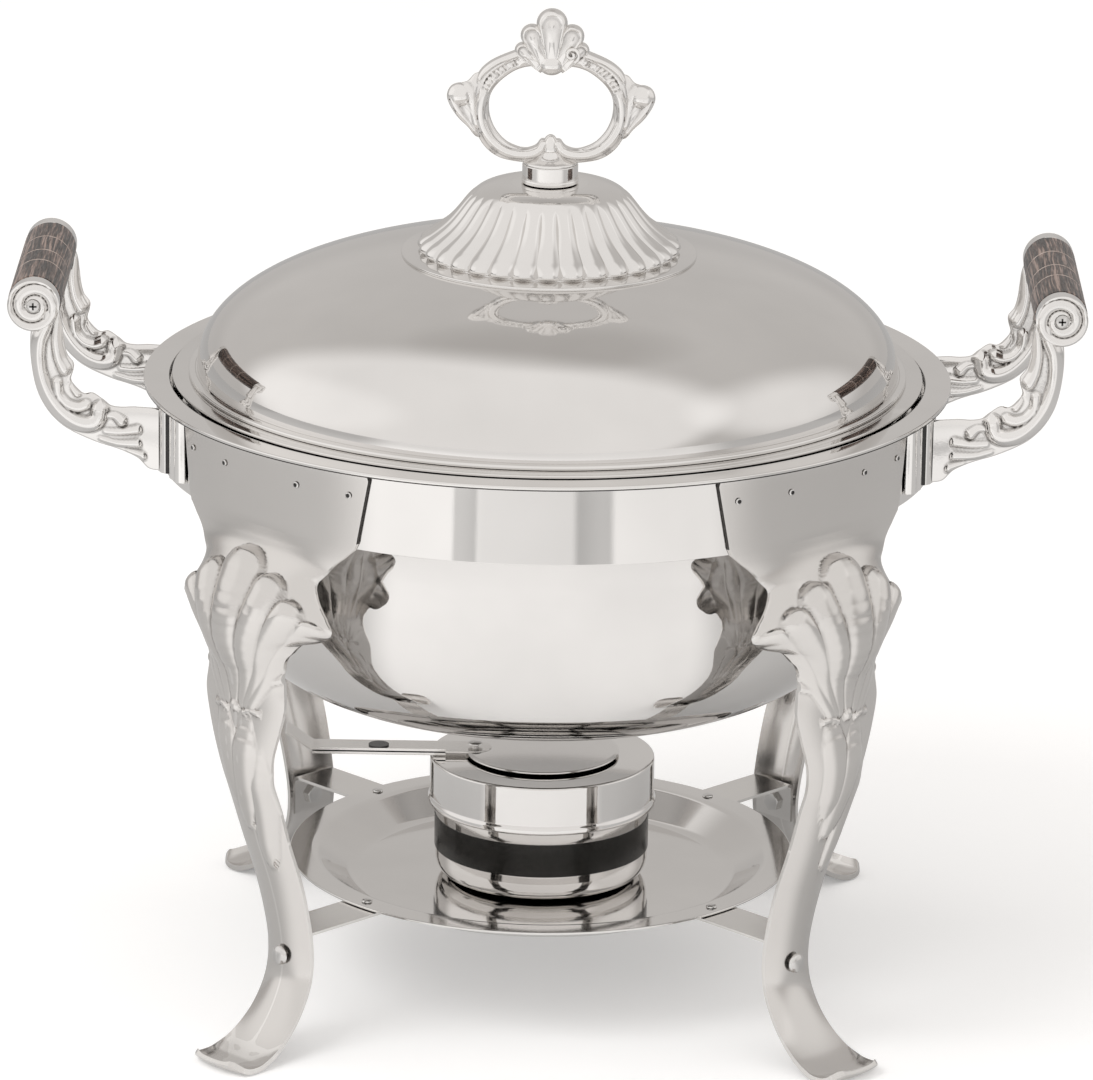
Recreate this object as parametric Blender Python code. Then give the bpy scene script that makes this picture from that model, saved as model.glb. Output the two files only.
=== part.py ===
"""Round chafer with a lift-off dome lid: a food pan in a water pan, held by a ring frame on four cabriole
legs, over a fuel holder that stands on a tray between the legs.

Metres, +Z up. The origin is on the table under the centre of the pans, and the front faces -Y. Round pieces
are turned about +Z, and the legs and brackets are made once and turned or mirrored to their places.
"""

import math

import bmesh
import bpy
from mathutils import Vector

# Driving dimensions.
FLANGE_RADIUS = 0.1627  # outer edge of the water pan
FLANGE_TOP = 0.2535
BAND_RADIUS = 0.1560  # outside of the ring frame
BAND_BOTTOM = 0.2200
BOWL_RADIUS = 0.1370  # water pan below the band
BOWL_BOTTOM = 0.1210
DOME_RADIUS = 0.1413
DOME_RISE = 0.0509
TRAY_RADIUS = 0.1032
TRAY_TOP = 0.0512
CUP_RADIUS = 0.0437
CUP_TOP = 0.0924  # top of the fuel holder's cover
GRIP_X = 0.2035  # grip axis, each side
GRIP_Z = 0.2920
BRACKET_Y = 0.0472  # middle of a handle bracket, each side

SHEET = 0.0010  # pressed sheet of the pans, tray and lid
LEG_SHEET = 0.0015
GAP = 0.0003  # kept between pieces that touch
ROUND_STEPS = 28
SMOOTH_ANGLE = math.radians(40)

LEG_ANGLES = {"front_left": 225, "front_right": 315, "back_right": 45, "back_left": 135}
SIDES = {"left": -1, "right": 1}
ENDS = {"front": -1, "back": 1}

X_AXIS, Y_AXIS, Z_AXIS = Vector((1, 0, 0)), Vector((0, 1, 0)), Vector((0, 0, 1))


def make_material(name, colour, roughness, metallic):
    material = bpy.data.materials.new(name)
    material.use_nodes = True
    shader = material.node_tree.nodes["Principled BSDF"]
    shader.inputs["Base Color"].default_value = (*colour, 1)
    shader.inputs["Roughness"].default_value = roughness
    shader.inputs["Metallic"].default_value = metallic
    return material


def clear_scene():
    for thing in list(bpy.data.objects):
        bpy.data.objects.remove(thing)


def add_object(name, shape, material):
    """An object from a bmesh, with its faces pointing out and its round stretches smooth."""
    bmesh.ops.recalc_face_normals(shape, faces=shape.faces)
    mesh = bpy.data.meshes.new(name)
    shape.to_mesh(mesh)
    shape.free()
    mesh.materials.append(material)
    mesh.shade_smooth()
    mesh.set_sharp_from_angle(angle=SMOOTH_ANGLE)
    thing = bpy.data.objects.new(name, mesh)
    bpy.context.scene.collection.objects.link(thing)
    return thing


def combined(base, tools, operation):
    """The base with every tool cut from it or joined to it. The tools are used up."""
    for tool in tools:
        modifier = base.modifiers.new("combine", "BOOLEAN")
        modifier.operation = operation
        modifier.solver = "EXACT"
        modifier.object = tool
    bpy.context.view_layer.update()
    graph = bpy.context.evaluated_depsgraph_get()
    mesh = bpy.data.meshes.new_from_object(base.evaluated_get(graph))
    base.modifiers.clear()
    base.data = mesh
    for tool in tools:
        bpy.data.objects.remove(tool)
    return base


def bridge(shape, rings, closed):
    """Faces between each ring of points and the next. A ring may be one point repeated."""
    followers = rings[1:] + rings[:1] if closed else rings[1:]
    for ring, following in zip(rings, followers):
        for here in range(len(ring)):
            there = (here + 1) % len(ring)
            corners = dict.fromkeys((ring[here], ring[there], following[there], following[here]))
            if len(corners) > 2:
                shape.faces.new(corners)


def turned(name, outline, material, steps=ROUND_STEPS, at=(0, 0, 0), along=Z_AXIS):
    """A closed outline of (radius, height) points turned about an axis through a place."""
    shape = bmesh.new()
    rings = []
    for radius, height in outline:
        if radius == 0:
            rings.append([shape.verts.new((0, 0, height))] * steps)
            continue
        angles = [2 * math.pi * step / steps for step in range(steps)]
        rings.append([shape.verts.new((radius * math.cos(a), radius * math.sin(a), height)) for a in angles])
    bridge(shape, rings, closed=True)
    thing = add_object(name, shape, material)
    thing.location = at
    thing.rotation_euler = Z_AXIS.rotation_difference(Vector(along)).to_euler()
    return thing


def lofted(name, rings, material, closed=False):
    """A skin over rings of points, with flat ends unless the last ring meets the first."""
    shape = bmesh.new()
    rings = [[shape.verts.new(point) for point in ring] for ring in rings]
    bridge(shape, rings, closed)
    if not closed:
        shape.faces.new(rings[0])
        shape.faces.new(rings[-1])
    return add_object(name, shape, material)


def pressed(name, grid, thickness, material):
    """A sheet of even thickness about a grid of mid-surface points, rows by columns."""
    rows, columns = len(grid), len(grid[0])
    shape = bmesh.new()
    layers = {}
    for side in (-1, 1):
        for r in range(rows):
            for c in range(columns):
                down = grid[min(r + 1, rows - 1)][c] - grid[max(r - 1, 0)][c]
                across = grid[r][min(c + 1, columns - 1)] - grid[r][max(c - 1, 0)]
                offset = down.cross(across).normalized() * thickness / 2 * side
                layers[side, r, c] = shape.verts.new(grid[r][c] + offset)
    for side in (-1, 1):
        for r in range(rows - 1):
            for c in range(columns - 1):
                corners = ((r, c), (r, c + 1), (r + 1, c + 1), (r + 1, c))
                shape.faces.new([layers[side, *corner] for corner in corners])
    edge = [(0, c) for c in range(columns)] + [(r, columns - 1) for r in range(1, rows)]
    edge += [(rows - 1, c) for c in reversed(range(columns - 1))] + [(r, 0) for r in reversed(range(1, rows - 1))]
    for here, there in zip(edge, edge[1:] + edge[:1]):
        shape.faces.new([layers[-1, *here], layers[-1, *there], layers[1, *there], layers[1, *here]])
    return add_object(name, shape, material)


def smooth(points, steps):
    """A Catmull-Rom curve through points of any number of values, steps samples to a span."""
    curve = []
    for i in range(len(points) - 1):
        before, start, end = points[max(i - 1, 0)], points[i], points[i + 1]
        after = points[min(i + 2, len(points) - 1)]
        for step in range(steps):
            t = step / steps
            weights = (-t + 2 * t**2 - t**3, 2 - 5 * t**2 + 3 * t**3, t + 4 * t**2 - 3 * t**3, t**3 - t**2)
            samples = zip(before, start, end, after)
            curve.append(tuple(sum(w * v for w, v in zip(weights, values)) / 2 for values in samples))
    return curve + [tuple(points[-1])]


def block(name, low, high, material):
    """A box between two corners."""
    shape = bmesh.new()
    bmesh.ops.create_cube(shape, size=1)
    for vertex in shape.verts:
        vertex.co = [lo if value < 0 else hi for value, lo, hi in zip(vertex.co, low, high)]
    return add_object(name, shape, material)


def drill(at, along, radius, reach, steps=8):
    """A round cutter through a place, reaching the same way on both sides."""
    outline = [(0, reach), (radius, reach), (radius, -reach), (0, -reach)]
    return turned("drill", outline, None, steps, at, along)


def fastener(name, material, at, along, head, shank, tail, steps=8):
    """A rivet or screw: head and tail are (radius, thickness), and the shank is (radius, length).

    The place is under the head, which faces along the axis.
    """
    outline = [
        (0, head[1]),
        (head[0] * 0.7, head[1]),
        (head[0], 0),
        (shank[0], 0),
        (shank[0], -shank[1]),
        (tail[0], -shank[1]),
        (tail[0], -shank[1] - tail[1]),
        (0, -shank[1] - tail[1]),
    ]
    return turned(name, outline, material, steps, at, along)


def outward(angle, radius, sideways=0.0, height=0.0):
    """The point at a radius along an angle in degrees, moved sideways and up."""
    turn = math.radians(angle)
    x = radius * math.cos(turn) - sideways * math.sin(turn)
    y = radius * math.sin(turn) + sideways * math.cos(turn)
    return Vector((x, y, height))


# --- Frame: band, legs, and the rivets that join them ---------------------------------------------------

BAND_TOP = FLANGE_TOP - SHEET - GAP
BAND_SHEET = 0.0012
BAND_STEPS = 48
PANEL_MIDDLE = BAND_RADIUS + GAP + LEG_SHEET / 2  # radius of the sheet's mid-surface
PANEL_TOP, PANEL_CORNER = 0.2505, 0.2220
PANEL_HALF_ANGLE = 19.2
PANEL_HALF_WIDTH = PANEL_MIDDLE * math.sin(math.radians(PANEL_HALF_ANGLE))
PANEL_BULGE = PANEL_MIDDLE * (1 - math.cos(math.radians(PANEL_HALF_ANGLE)))
PANEL_RIVET_Z = 0.2420
PANEL_RIVET_ANGLES = (-16.5, -7.5, 7.5, 16.5)
PANEL_RIVET_HOLE = 0.0012

# The leg's mid-line from the panel's lower corners down to the foot: radius, height, half width, bulge.
LEG_LINE = (
    (PANEL_MIDDLE, PANEL_CORNER, PANEL_HALF_WIDTH, PANEL_BULGE),
    (0.1605, 0.2100, 0.0350, 0.0060),
    (0.1700, 0.1940, 0.0400, 0.0150),
    (0.1735, 0.1800, 0.0310, 0.0170),
    (0.1690, 0.1640, 0.0225, 0.0070),
    (0.1685, 0.1480, 0.0220, 0.0045),
    (0.1685, 0.1290, 0.0160, 0.0040),
    (0.1640, 0.1120, 0.0145, 0.0040),
    (0.1500, 0.0720, 0.0135, 0.0040),
    (0.1434, 0.0420, 0.0127, 0.0040),
    (0.1480, 0.0210, 0.0130, 0.0030),
    (0.1600, 0.0060, 0.0142, 0.0010),
)
FOOT_PAD = (0.1685, 0.1710, 0.1735, 0.1760)  # radii of the flat rows that stand on the table
FOOT_HALF_WIDTH = 0.0150
TOE_LIP = ((0.1795, 0.0022, 0.0128, -0.0010), (0.1820, 0.0046, 0.0085, -0.0010))
LEG_COLUMNS = 6
LEG_SCREW_Z = 0.0400
LEG_SCREW_HOLE = 0.0019
LEG_SCREW_RELIEF = 0.0013  # the screw's flat head clears the leg's curve


def leg_grid():
    """Mid-surface points of a leg that stands along +X."""
    panel = [(PANEL_MIDDLE, height, PANEL_HALF_WIDTH, PANEL_BULGE) for height in (PANEL_TOP, 0.2360)]
    pad = [(radius, LEG_SHEET / 2, FOOT_HALF_WIDTH, 0.0) for radius in FOOT_PAD]
    line = panel + smooth(LEG_LINE, 2) + pad + list(TOE_LIP)
    grid = []
    for row, (radius, height, half_width, bulge) in enumerate(line):
        before, after = line[max(row - 1, 0)], line[min(row + 1, len(line) - 1)]
        way = Vector((after[0] - before[0], after[1] - before[1])).normalized()
        face = Vector((-way.y, way.x))  # the way the leg's outer face looks
        points = []
        for column in range(LEG_COLUMNS + 1):
            across = 2 * column / LEG_COLUMNS - 1
            drop = bulge * across**2
            points.append(Vector((radius - face.x * drop, half_width * across, height - face.y * drop)))
        grid.append(points)
    return grid


def make_legs(steel):
    model = pressed("leg_model", leg_grid(), LEG_SHEET, steel)
    drills = [drill((LEG_LINE[9][0], 0, LEG_SCREW_Z), X_AXIS, LEG_SCREW_HOLE, 0.006)]
    for angle in PANEL_RIVET_ANGLES:
        at = outward(angle, PANEL_MIDDLE, height=PANEL_RIVET_Z)
        drills.append(drill(at, outward(angle, 1), PANEL_RIVET_HOLE, 0.004, steps=6))
    combined(model, drills, "DIFFERENCE")
    for place, angle in LEG_ANGLES.items():
        leg = bpy.data.objects.new(f"leg_{place}", model.data)
        leg.rotation_euler.z = math.radians(angle)
        bpy.context.scene.collection.objects.link(leg)
    bpy.data.objects.remove(model)


def make_band(steel):
    inner = BAND_RADIUS - BAND_SHEET
    outline = [(BAND_RADIUS, BAND_TOP), (BAND_RADIUS, BAND_BOTTOM), (inner, BAND_BOTTOM), (inner, BAND_TOP)]
    band = turned("frame_band", outline, steel, BAND_STEPS)
    drills = []
    for leg_angle in LEG_ANGLES.values():
        for angle in PANEL_RIVET_ANGLES:
            at = outward(leg_angle + angle, BAND_RADIUS, height=PANEL_RIVET_Z)
            drills.append(drill(at, outward(leg_angle + angle, 1), PANEL_RIVET_HOLE, 0.004, steps=6))
    combined(band, drills, "DIFFERENCE")


def make_panel_rivets(steel):
    """Small rivets that join each leg's panel to the band."""
    outside = BAND_RADIUS + 2 * GAP + LEG_SHEET
    inside = (BAND_RADIUS - BAND_SHEET) * math.cos(math.pi / BAND_STEPS) - GAP  # clear of the band's flats
    for place, leg_angle in LEG_ANGLES.items():
        for number, angle in enumerate(PANEL_RIVET_ANGLES, start=1):
            at = outward(leg_angle + angle, outside, height=PANEL_RIVET_Z)
            fastener(
                f"panel_rivet_{place}_{number}",
                steel,
                at,
                outward(leg_angle + angle, 1),
                head=(0.0018, 0.0006),
                shank=(0.0009, outside - inside),
                tail=(0.0015, 0.0004),
                steps=6,
            )


# --- Tray and the straps that carry it ----------------------------------------------------------------

TRAY_RIM_INNER = 0.0925
TRAY_FLOOR_RADIUS = 0.0780
TRAY_FLOOR_TOP = 0.0412
TRAY_RIVET_RADIUS = 0.0980
STRAP_SHEET = 0.0012
STRAP_HALF_WIDTH = 0.0100
STRAP_START = 0.0935
STRAP_FACE = 0.1395  # where the bent-down tab meets the leg
STRAP_TOP = TRAY_TOP - SHEET - GAP
STRAP_TAB_BOTTOM = 0.0330
STRAP_HOLE = 0.0015


def make_tray(steel):
    slope = SHEET * 0.6  # the sloping wall keeps its thickness when its lower face is pulled in
    outline = [
        (0, TRAY_FLOOR_TOP),
        (TRAY_FLOOR_RADIUS, TRAY_FLOOR_TOP),
        (TRAY_RIM_INNER, TRAY_TOP),
        (TRAY_RADIUS, TRAY_TOP),
        (TRAY_RADIUS, TRAY_TOP - SHEET),
        (TRAY_RIM_INNER + slope, TRAY_TOP - SHEET),
        (TRAY_FLOOR_RADIUS + slope, TRAY_FLOOR_TOP - SHEET),
        (0, TRAY_FLOOR_TOP - SHEET),
    ]
    tray = turned("fuel_tray", outline, steel)
    places = [outward(angle, TRAY_RIVET_RADIUS, height=TRAY_TOP) for angle in LEG_ANGLES.values()]
    combined(tray, [drill(at, Z_AXIS, STRAP_HOLE, 0.004) for at in places], "DIFFERENCE")


def make_straps(steel):
    """A flat strip under the tray's rim, bent down to a tab against the leg's inner face."""
    low, corner, tab = STRAP_TOP - STRAP_SHEET, STRAP_FACE - STRAP_SHEET, STRAP_TAB_BOTTOM
    bend = 0.0015
    side = (
        (STRAP_START, STRAP_TOP),
        (STRAP_FACE - bend, STRAP_TOP),
        (STRAP_FACE, STRAP_TOP - bend),
        (STRAP_FACE, tab),
        (corner, tab),
        (corner, low),
        (STRAP_START, low),
    )
    rings = [[(x, y, z) for x, z in side] for y in (-STRAP_HALF_WIDTH, STRAP_HALF_WIDTH)]
    model = lofted("strap_model", rings, steel)
    drills = [
        drill((TRAY_RIVET_RADIUS, 0, STRAP_TOP), Z_AXIS, STRAP_HOLE, 0.004),
        drill((STRAP_FACE, 0, LEG_SCREW_Z), X_AXIS, LEG_SCREW_HOLE, 0.004),
    ]
    combined(model, drills, "DIFFERENCE")
    for place, angle in LEG_ANGLES.items():
        strap = bpy.data.objects.new(f"tray_strap_{place}", model.data)
        strap.rotation_euler.z = math.radians(angle)
        bpy.context.scene.collection.objects.link(strap)
    bpy.data.objects.remove(model)


def make_tray_fasteners(steel):
    """A rivet through the rim and each strap, and a button-headed screw through each leg and strap."""
    leg_outside = LEG_LINE[9][0] + LEG_SHEET / 2 + LEG_SCREW_RELIEF
    for place, angle in LEG_ANGLES.items():
        fastener(
            f"tray_rivet_{place}",
            steel,
            outward(angle, TRAY_RIVET_RADIUS, height=TRAY_TOP + GAP),
            Z_AXIS,
            head=(0.0022, 0.0008),
            shank=(0.0011, TRAY_TOP - STRAP_TOP + STRAP_SHEET + 2 * GAP),
            tail=(0.0022, 0.0006),
        )
        fastener(
            f"leg_screw_{place}",
            steel,
            outward(angle, leg_outside, height=LEG_SCREW_Z),
            outward(angle, 1),
            head=(0.0040, 0.0020),
            shank=(0.0015, leg_outside - STRAP_FACE + STRAP_SHEET + GAP),
            tail=(0.0036, 0.0014),
        )


# --- Side handles -------------------------------------------------------------------------------------

GRIP_RADIUS = 0.0105
GRIP_HALF_LENGTH = 0.0430
GRIP_BORE = 0.0030
GRIP_RINGS = (-0.0215, 0.0, 0.0215)
ROD_RADIUS = 0.0025
SCROLL_RADIUS = 0.0103
SCROLL_HALF = 0.0038  # half the thickness of the scroll disc
END_SCREW_HOLE = 0.0017
END_SCREW_DEPTH = 0.0070
FOOT_ANGLES = (14.6, 24.6)  # of the bracket's foot on the band, from the side
FOOT_INNER, FOOT_OUTER = BAND_RADIUS + 2 * GAP, 0.1600
FOOT_Z = (0.2240, 0.2500)

# The bracket's mid-line from its foot out and up to the scroll: x, z, half height, half thickness.
BRACKET_LINE = (
    (0.1513, 0.2370, 0.0115, 0.0033),
    (0.1640, 0.2400, 0.0095, 0.0040),
    (0.1770, 0.2435, 0.0088, 0.0042),
    (0.1880, 0.2500, 0.0085, 0.0042),
    (0.1955, 0.2600, 0.0078, 0.0040),
    (0.1985, 0.2710, 0.0066, 0.0038),
    (0.1990, 0.2820, 0.0058, 0.0036),
    (0.2010, 0.2900, 0.0052, 0.0034),
)
SECTION_STEPS = 8


def section_ring(centre, across, half_across, half_y):
    """A rounded section in the plane of a direction and Y."""
    ring = []
    for step in range(SECTION_STEPS):
        turn = 2 * math.pi * (step + 0.5) / SECTION_STEPS
        ring.append(centre + across * half_across * math.cos(turn) * 1.08 + Y_AXIS * half_y * math.sin(turn) * 1.08)
    return ring


def swept(name, line, material, closed=False):
    """A bar in the XZ plane through (x, z, half height, half thickness) stations."""
    rings = []
    for i, (x, z, half_height, half_y) in enumerate(line):
        before = line[i - 1] if closed or i else line[0]
        after = line[(i + 1) % len(line)] if closed or i + 1 < len(line) else line[-1]
        way = Vector((after[0] - before[0], 0, after[1] - before[1])).normalized()
        rings.append(section_ring(Vector((x, 0, z)), Vector((-way.z, 0, way.x)), half_height, half_y))
    return lofted(name, rings, material, closed)


def foot_block(steel):
    """The foot that lies on the band, beside the leg's panel, as a sector about +Z."""
    rings = []
    for step in range(4):
        angle = FOOT_ANGLES[0] + (FOOT_ANGLES[1] - FOOT_ANGLES[0]) * step / 3
        corners = ((FOOT_INNER, FOOT_Z[0]), (FOOT_OUTER, FOOT_Z[0]), (FOOT_OUTER, FOOT_Z[1]), (FOOT_INNER, FOOT_Z[1]))
        rings.append([outward(angle, radius, height=z) for radius, z in corners])
    return lofted("foot", rings, steel)


def make_bracket_mesh(steel):
    """The bracket at the right-hand back corner, as cast: foot, curved arm and scroll disc in one."""
    arm = swept("bracket_model", smooth(BRACKET_LINE, 2), steel)
    for vertex in arm.data.vertices:
        vertex.co.y += BRACKET_Y
    scroll_at = (GRIP_X, BRACKET_Y, GRIP_Z)
    disc = [(0, SCROLL_HALF), (SCROLL_RADIUS, SCROLL_HALF), (SCROLL_RADIUS, -SCROLL_HALF), (0, -SCROLL_HALF)]
    scroll = turned("scroll", disc, steel, 20, scroll_at, Y_AXIS)
    combined(arm, [scroll, foot_block(steel)], "UNION")
    return combined(arm, [drill(scroll_at, Y_AXIS, END_SCREW_HOLE, 0.008)], "DIFFERENCE")


def make_handles(steel, wood):
    model = make_bracket_mesh(steel)
    for side, x_way in SIDES.items():
        for end, y_way in ENDS.items():
            bracket = bpy.data.objects.new(f"handle_bracket_{side}_{end}", mirrored(model.data, x_way, y_way))
            bpy.context.scene.collection.objects.link(bracket)
            fastener(
                f"handle_screw_{side}_{end}",
                steel,
                (x_way * GRIP_X, y_way * (BRACKET_Y + SCROLL_HALF + GAP), GRIP_Z),
                Y_AXIS * y_way,
                head=(0.0036, 0.0011),
                shank=(0.0013, 2 * SCROLL_HALF + 2 * GAP),
                tail=(0.0013, END_SCREW_DEPTH - 0.001),
            )
        make_grip(side, x_way, wood)
        make_rod(side, x_way, steel)
    bpy.data.objects.remove(model)


def mirrored(mesh, x_way, y_way):
    """A copy of a mesh, turned over across X, across Y or across both."""
    shape = bmesh.new()
    shape.from_mesh(mesh)
    for vertex in shape.verts:
        vertex.co.x *= x_way
        vertex.co.y *= y_way
    if x_way * y_way < 0:
        bmesh.ops.reverse_faces(shape, faces=shape.faces)
    copy = bpy.data.meshes.new(mesh.name)
    shape.to_mesh(copy)
    shape.free()
    copy.materials.append(mesh.materials[0])
    return copy


def make_grip(side, x_way, wood):
    """A wooden grip with shallow turned rings, bored for its tie rod."""
    groove, half_groove = 0.0006, 0.0007
    outline = [(GRIP_BORE, GRIP_HALF_LENGTH), (GRIP_BORE, -GRIP_HALF_LENGTH), (GRIP_RADIUS, -GRIP_HALF_LENGTH)]
    for ring in GRIP_RINGS:
        outline += [
            (GRIP_RADIUS, ring - half_groove),
            (GRIP_RADIUS - groove, ring),
            (GRIP_RADIUS, ring + half_groove),
        ]
    outline.append((GRIP_RADIUS, GRIP_HALF_LENGTH))
    turned(f"handle_grip_{side}", outline, wood, 18, (x_way * GRIP_X, 0, GRIP_Z), Y_AXIS)


def make_rod(side, x_way, steel):
    """The rod inside the grip, with a blind hole in each end for the bracket's screw."""
    hole, end = END_SCREW_HOLE, GRIP_HALF_LENGTH
    outline = [
        (0, end - END_SCREW_DEPTH),
        (hole, end - END_SCREW_DEPTH),
        (hole, end),
        (ROD_RADIUS, end),
        (ROD_RADIUS, -end),
        (hole, -end),
        (hole, -end + END_SCREW_DEPTH),
        (0, -end + END_SCREW_DEPTH),
    ]
    turned(f"handle_rod_{side}", outline, steel, 10, (x_way * GRIP_X, 0, GRIP_Z), Y_AXIS)


# --- Pans ---------------------------------------------------------------------------------------------

WALL_RADIUS = 0.1530  # outside of the water pan, inside the band
WALL_BOTTOM = 0.2420  # below it the pan tapers in to its bowl
BOWL_TOP = 0.2150
BOWL_POWER = 3.6
FOOD_FLANGE_RADIUS = 0.1512
FOOD_WALL_RADIUS = 0.1413
FOOD_WALL_BOTTOM = 0.2500  # below it the pan tapers in to its rounded bottom
FOOD_BOWL_RADIUS = 0.1240
FOOD_BOWL_TOP = 0.2020
FOOD_BOTTOM = 0.1900
FOOD_POWER = 3.0
FOOD_SHEET = 0.0008
FOOD_FLANGE_TOP = FLANGE_TOP + GAP + FOOD_SHEET


def bowl_curve(radius, top, bottom, power, steps):
    """A rounded bowl from its wall down to the middle of its bottom, as a superellipse."""
    curve = []
    for step in range(steps + 1):
        turn = math.pi / 2 * step / steps
        across = math.cos(turn) ** (2 / power) if step < steps else 0.0
        down = math.sin(turn) ** (2 / power)
        curve.append((radius * across, top - (top - bottom) * down))
    return curve


def make_water_pan(steel):
    inner_radius, turn_down = WALL_RADIUS - SHEET, 0.0018
    outside = bowl_curve(BOWL_RADIUS, BOWL_TOP, BOWL_BOTTOM, BOWL_POWER, 8)
    inside = bowl_curve(BOWL_RADIUS - SHEET, BOWL_TOP, BOWL_BOTTOM + SHEET, BOWL_POWER, 8)
    outline = [
        (inner_radius, FLANGE_TOP),
        (FLANGE_RADIUS, FLANGE_TOP),
        (FLANGE_RADIUS, FLANGE_TOP - turn_down),
        (FLANGE_RADIUS - SHEET, FLANGE_TOP - turn_down),
        (FLANGE_RADIUS - SHEET, FLANGE_TOP - SHEET),
        (WALL_RADIUS, FLANGE_TOP - SHEET),
        (WALL_RADIUS, WALL_BOTTOM),
        *outside,
        *reversed(inside),
        (inner_radius, WALL_BOTTOM),
    ]
    turned("water_pan", outline, steel)


def make_food_pan(steel):
    inner_radius, top = FOOD_WALL_RADIUS - FOOD_SHEET, FLANGE_TOP + GAP
    outside = bowl_curve(FOOD_BOWL_RADIUS, FOOD_BOWL_TOP, FOOD_BOTTOM, FOOD_POWER, 6)
    inside = bowl_curve(FOOD_BOWL_RADIUS - FOOD_SHEET, FOOD_BOWL_TOP, FOOD_BOTTOM + FOOD_SHEET, FOOD_POWER, 6)
    outline = [
        (inner_radius, FOOD_FLANGE_TOP),
        (FOOD_FLANGE_RADIUS, FOOD_FLANGE_TOP),
        (FOOD_FLANGE_RADIUS, top),
        (FOOD_WALL_RADIUS, top),
        (FOOD_WALL_RADIUS, FOOD_WALL_BOTTOM),
        *outside,
        *reversed(inside),
        (inner_radius, FOOD_WALL_BOTTOM),
    ]
    turned("food_pan", outline, steel)


# --- Lid ----------------------------------------------------------------------------------------------

LID_BASE = FOOD_FLANGE_TOP + GAP
BEAD_RADIUS, BEAD_HEIGHT = 0.1446, 0.0016
DOME_BASE = 0.2564
DOME_TOP = DOME_BASE + DOME_RISE
DOME_POWER_OUT, DOME_POWER_UP = 2.1, 2.27
STUD_RADIUS, STUD_HOLE = 0.0026, 0.0031
CROWN_RADIUS = 0.0594
CROWN_BASE = 0.3042
CROWN_TOP = 0.3330
COLLAR_RADIUS = 0.0115
COLLAR_TOP = 0.3410

# Outside of the fluted crown, from its flange up to its flat top.
CROWN_CURVE = (
    (CROWN_RADIUS, CROWN_BASE + SHEET),
    (0.0545, 0.3058),
    (0.0505, 0.3095),
    (0.0440, 0.3142),
    (0.0370, 0.3205),
    (0.0305, 0.3272),
    (0.0240, 0.3318),
    (0.0160, CROWN_TOP),
)

# The handle's loop, left half, from the middle of its foot to the middle of its top:
# x, z, half width, half thickness.
LOOP_LINE = (
    (0.0, 0.3458, 0.0036, 0.0034),
    (-0.0110, 0.3445, 0.0033, 0.0034),
    (-0.0205, 0.3475, 0.0036, 0.0036),
    (-0.0277, 0.3540, 0.0042, 0.0038),
    (-0.0305, 0.3630, 0.0055, 0.0038),
    (-0.0285, 0.3725, 0.0048, 0.0038),
    (-0.0215, 0.3795, 0.0040, 0.0036),
    (-0.0120, 0.3835, 0.0036, 0.0036),
    (0.0, 0.3850, 0.0050, 0.0036),
)


def dome_curve(radius, rise, steps):
    """From the dome's base up to its centre hole."""
    curve = []
    for step in range(steps + 1):
        turn = math.pi / 2 * (1 - step / steps)
        across = math.sin(turn) ** (2 / DOME_POWER_OUT)
        up = math.cos(turn) ** (2 / DOME_POWER_UP) if step else 0.0
        curve.append((max(radius * across, STUD_HOLE), DOME_BASE + rise * up))
    return curve


def make_dome(steel):
    outside = dome_curve(DOME_RADIUS, DOME_RISE, 8)
    inside = dome_curve(DOME_RADIUS - SHEET, DOME_RISE - SHEET, 8)
    outline = [
        (DOME_RADIUS - SHEET, LID_BASE),
        (BEAD_RADIUS, LID_BASE),
        (BEAD_RADIUS, LID_BASE + BEAD_HEIGHT),
        *outside,
        *reversed(inside),
    ]
    turned("lid_dome", outline, steel)


def make_crown(steel):
    inside = [(max(radius - SHEET, STUD_HOLE), height - SHEET) for radius, height in CROWN_CURVE]
    outline = [*CROWN_CURVE, (STUD_HOLE, CROWN_TOP), (STUD_HOLE, CROWN_TOP - SHEET), *reversed(inside)]
    turned("lid_crown", outline, steel)


def make_collar(steel):
    low, top = CROWN_TOP + GAP, COLLAR_TOP
    outline = [
        (STUD_HOLE, top),
        (COLLAR_RADIUS - 0.0015, top),
        (COLLAR_RADIUS, top - 0.0015),
        (COLLAR_RADIUS, low + 0.0010),
        (COLLAR_RADIUS - 0.0010, low),
        (STUD_HOLE, low),
    ]
    turned("lid_collar", outline, steel, 20)


def ball(name, centre, radii, material):
    """An egg-shaped lump with its own half-length along each axis."""
    shape = bmesh.new()
    bmesh.ops.create_uvsphere(shape, u_segments=10, v_segments=6, radius=1)
    for vertex in shape.verts:
        vertex.co = Vector(centre) + Vector(c * r for c, r in zip(vertex.co, radii))
    return add_object(name, shape, material)


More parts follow.
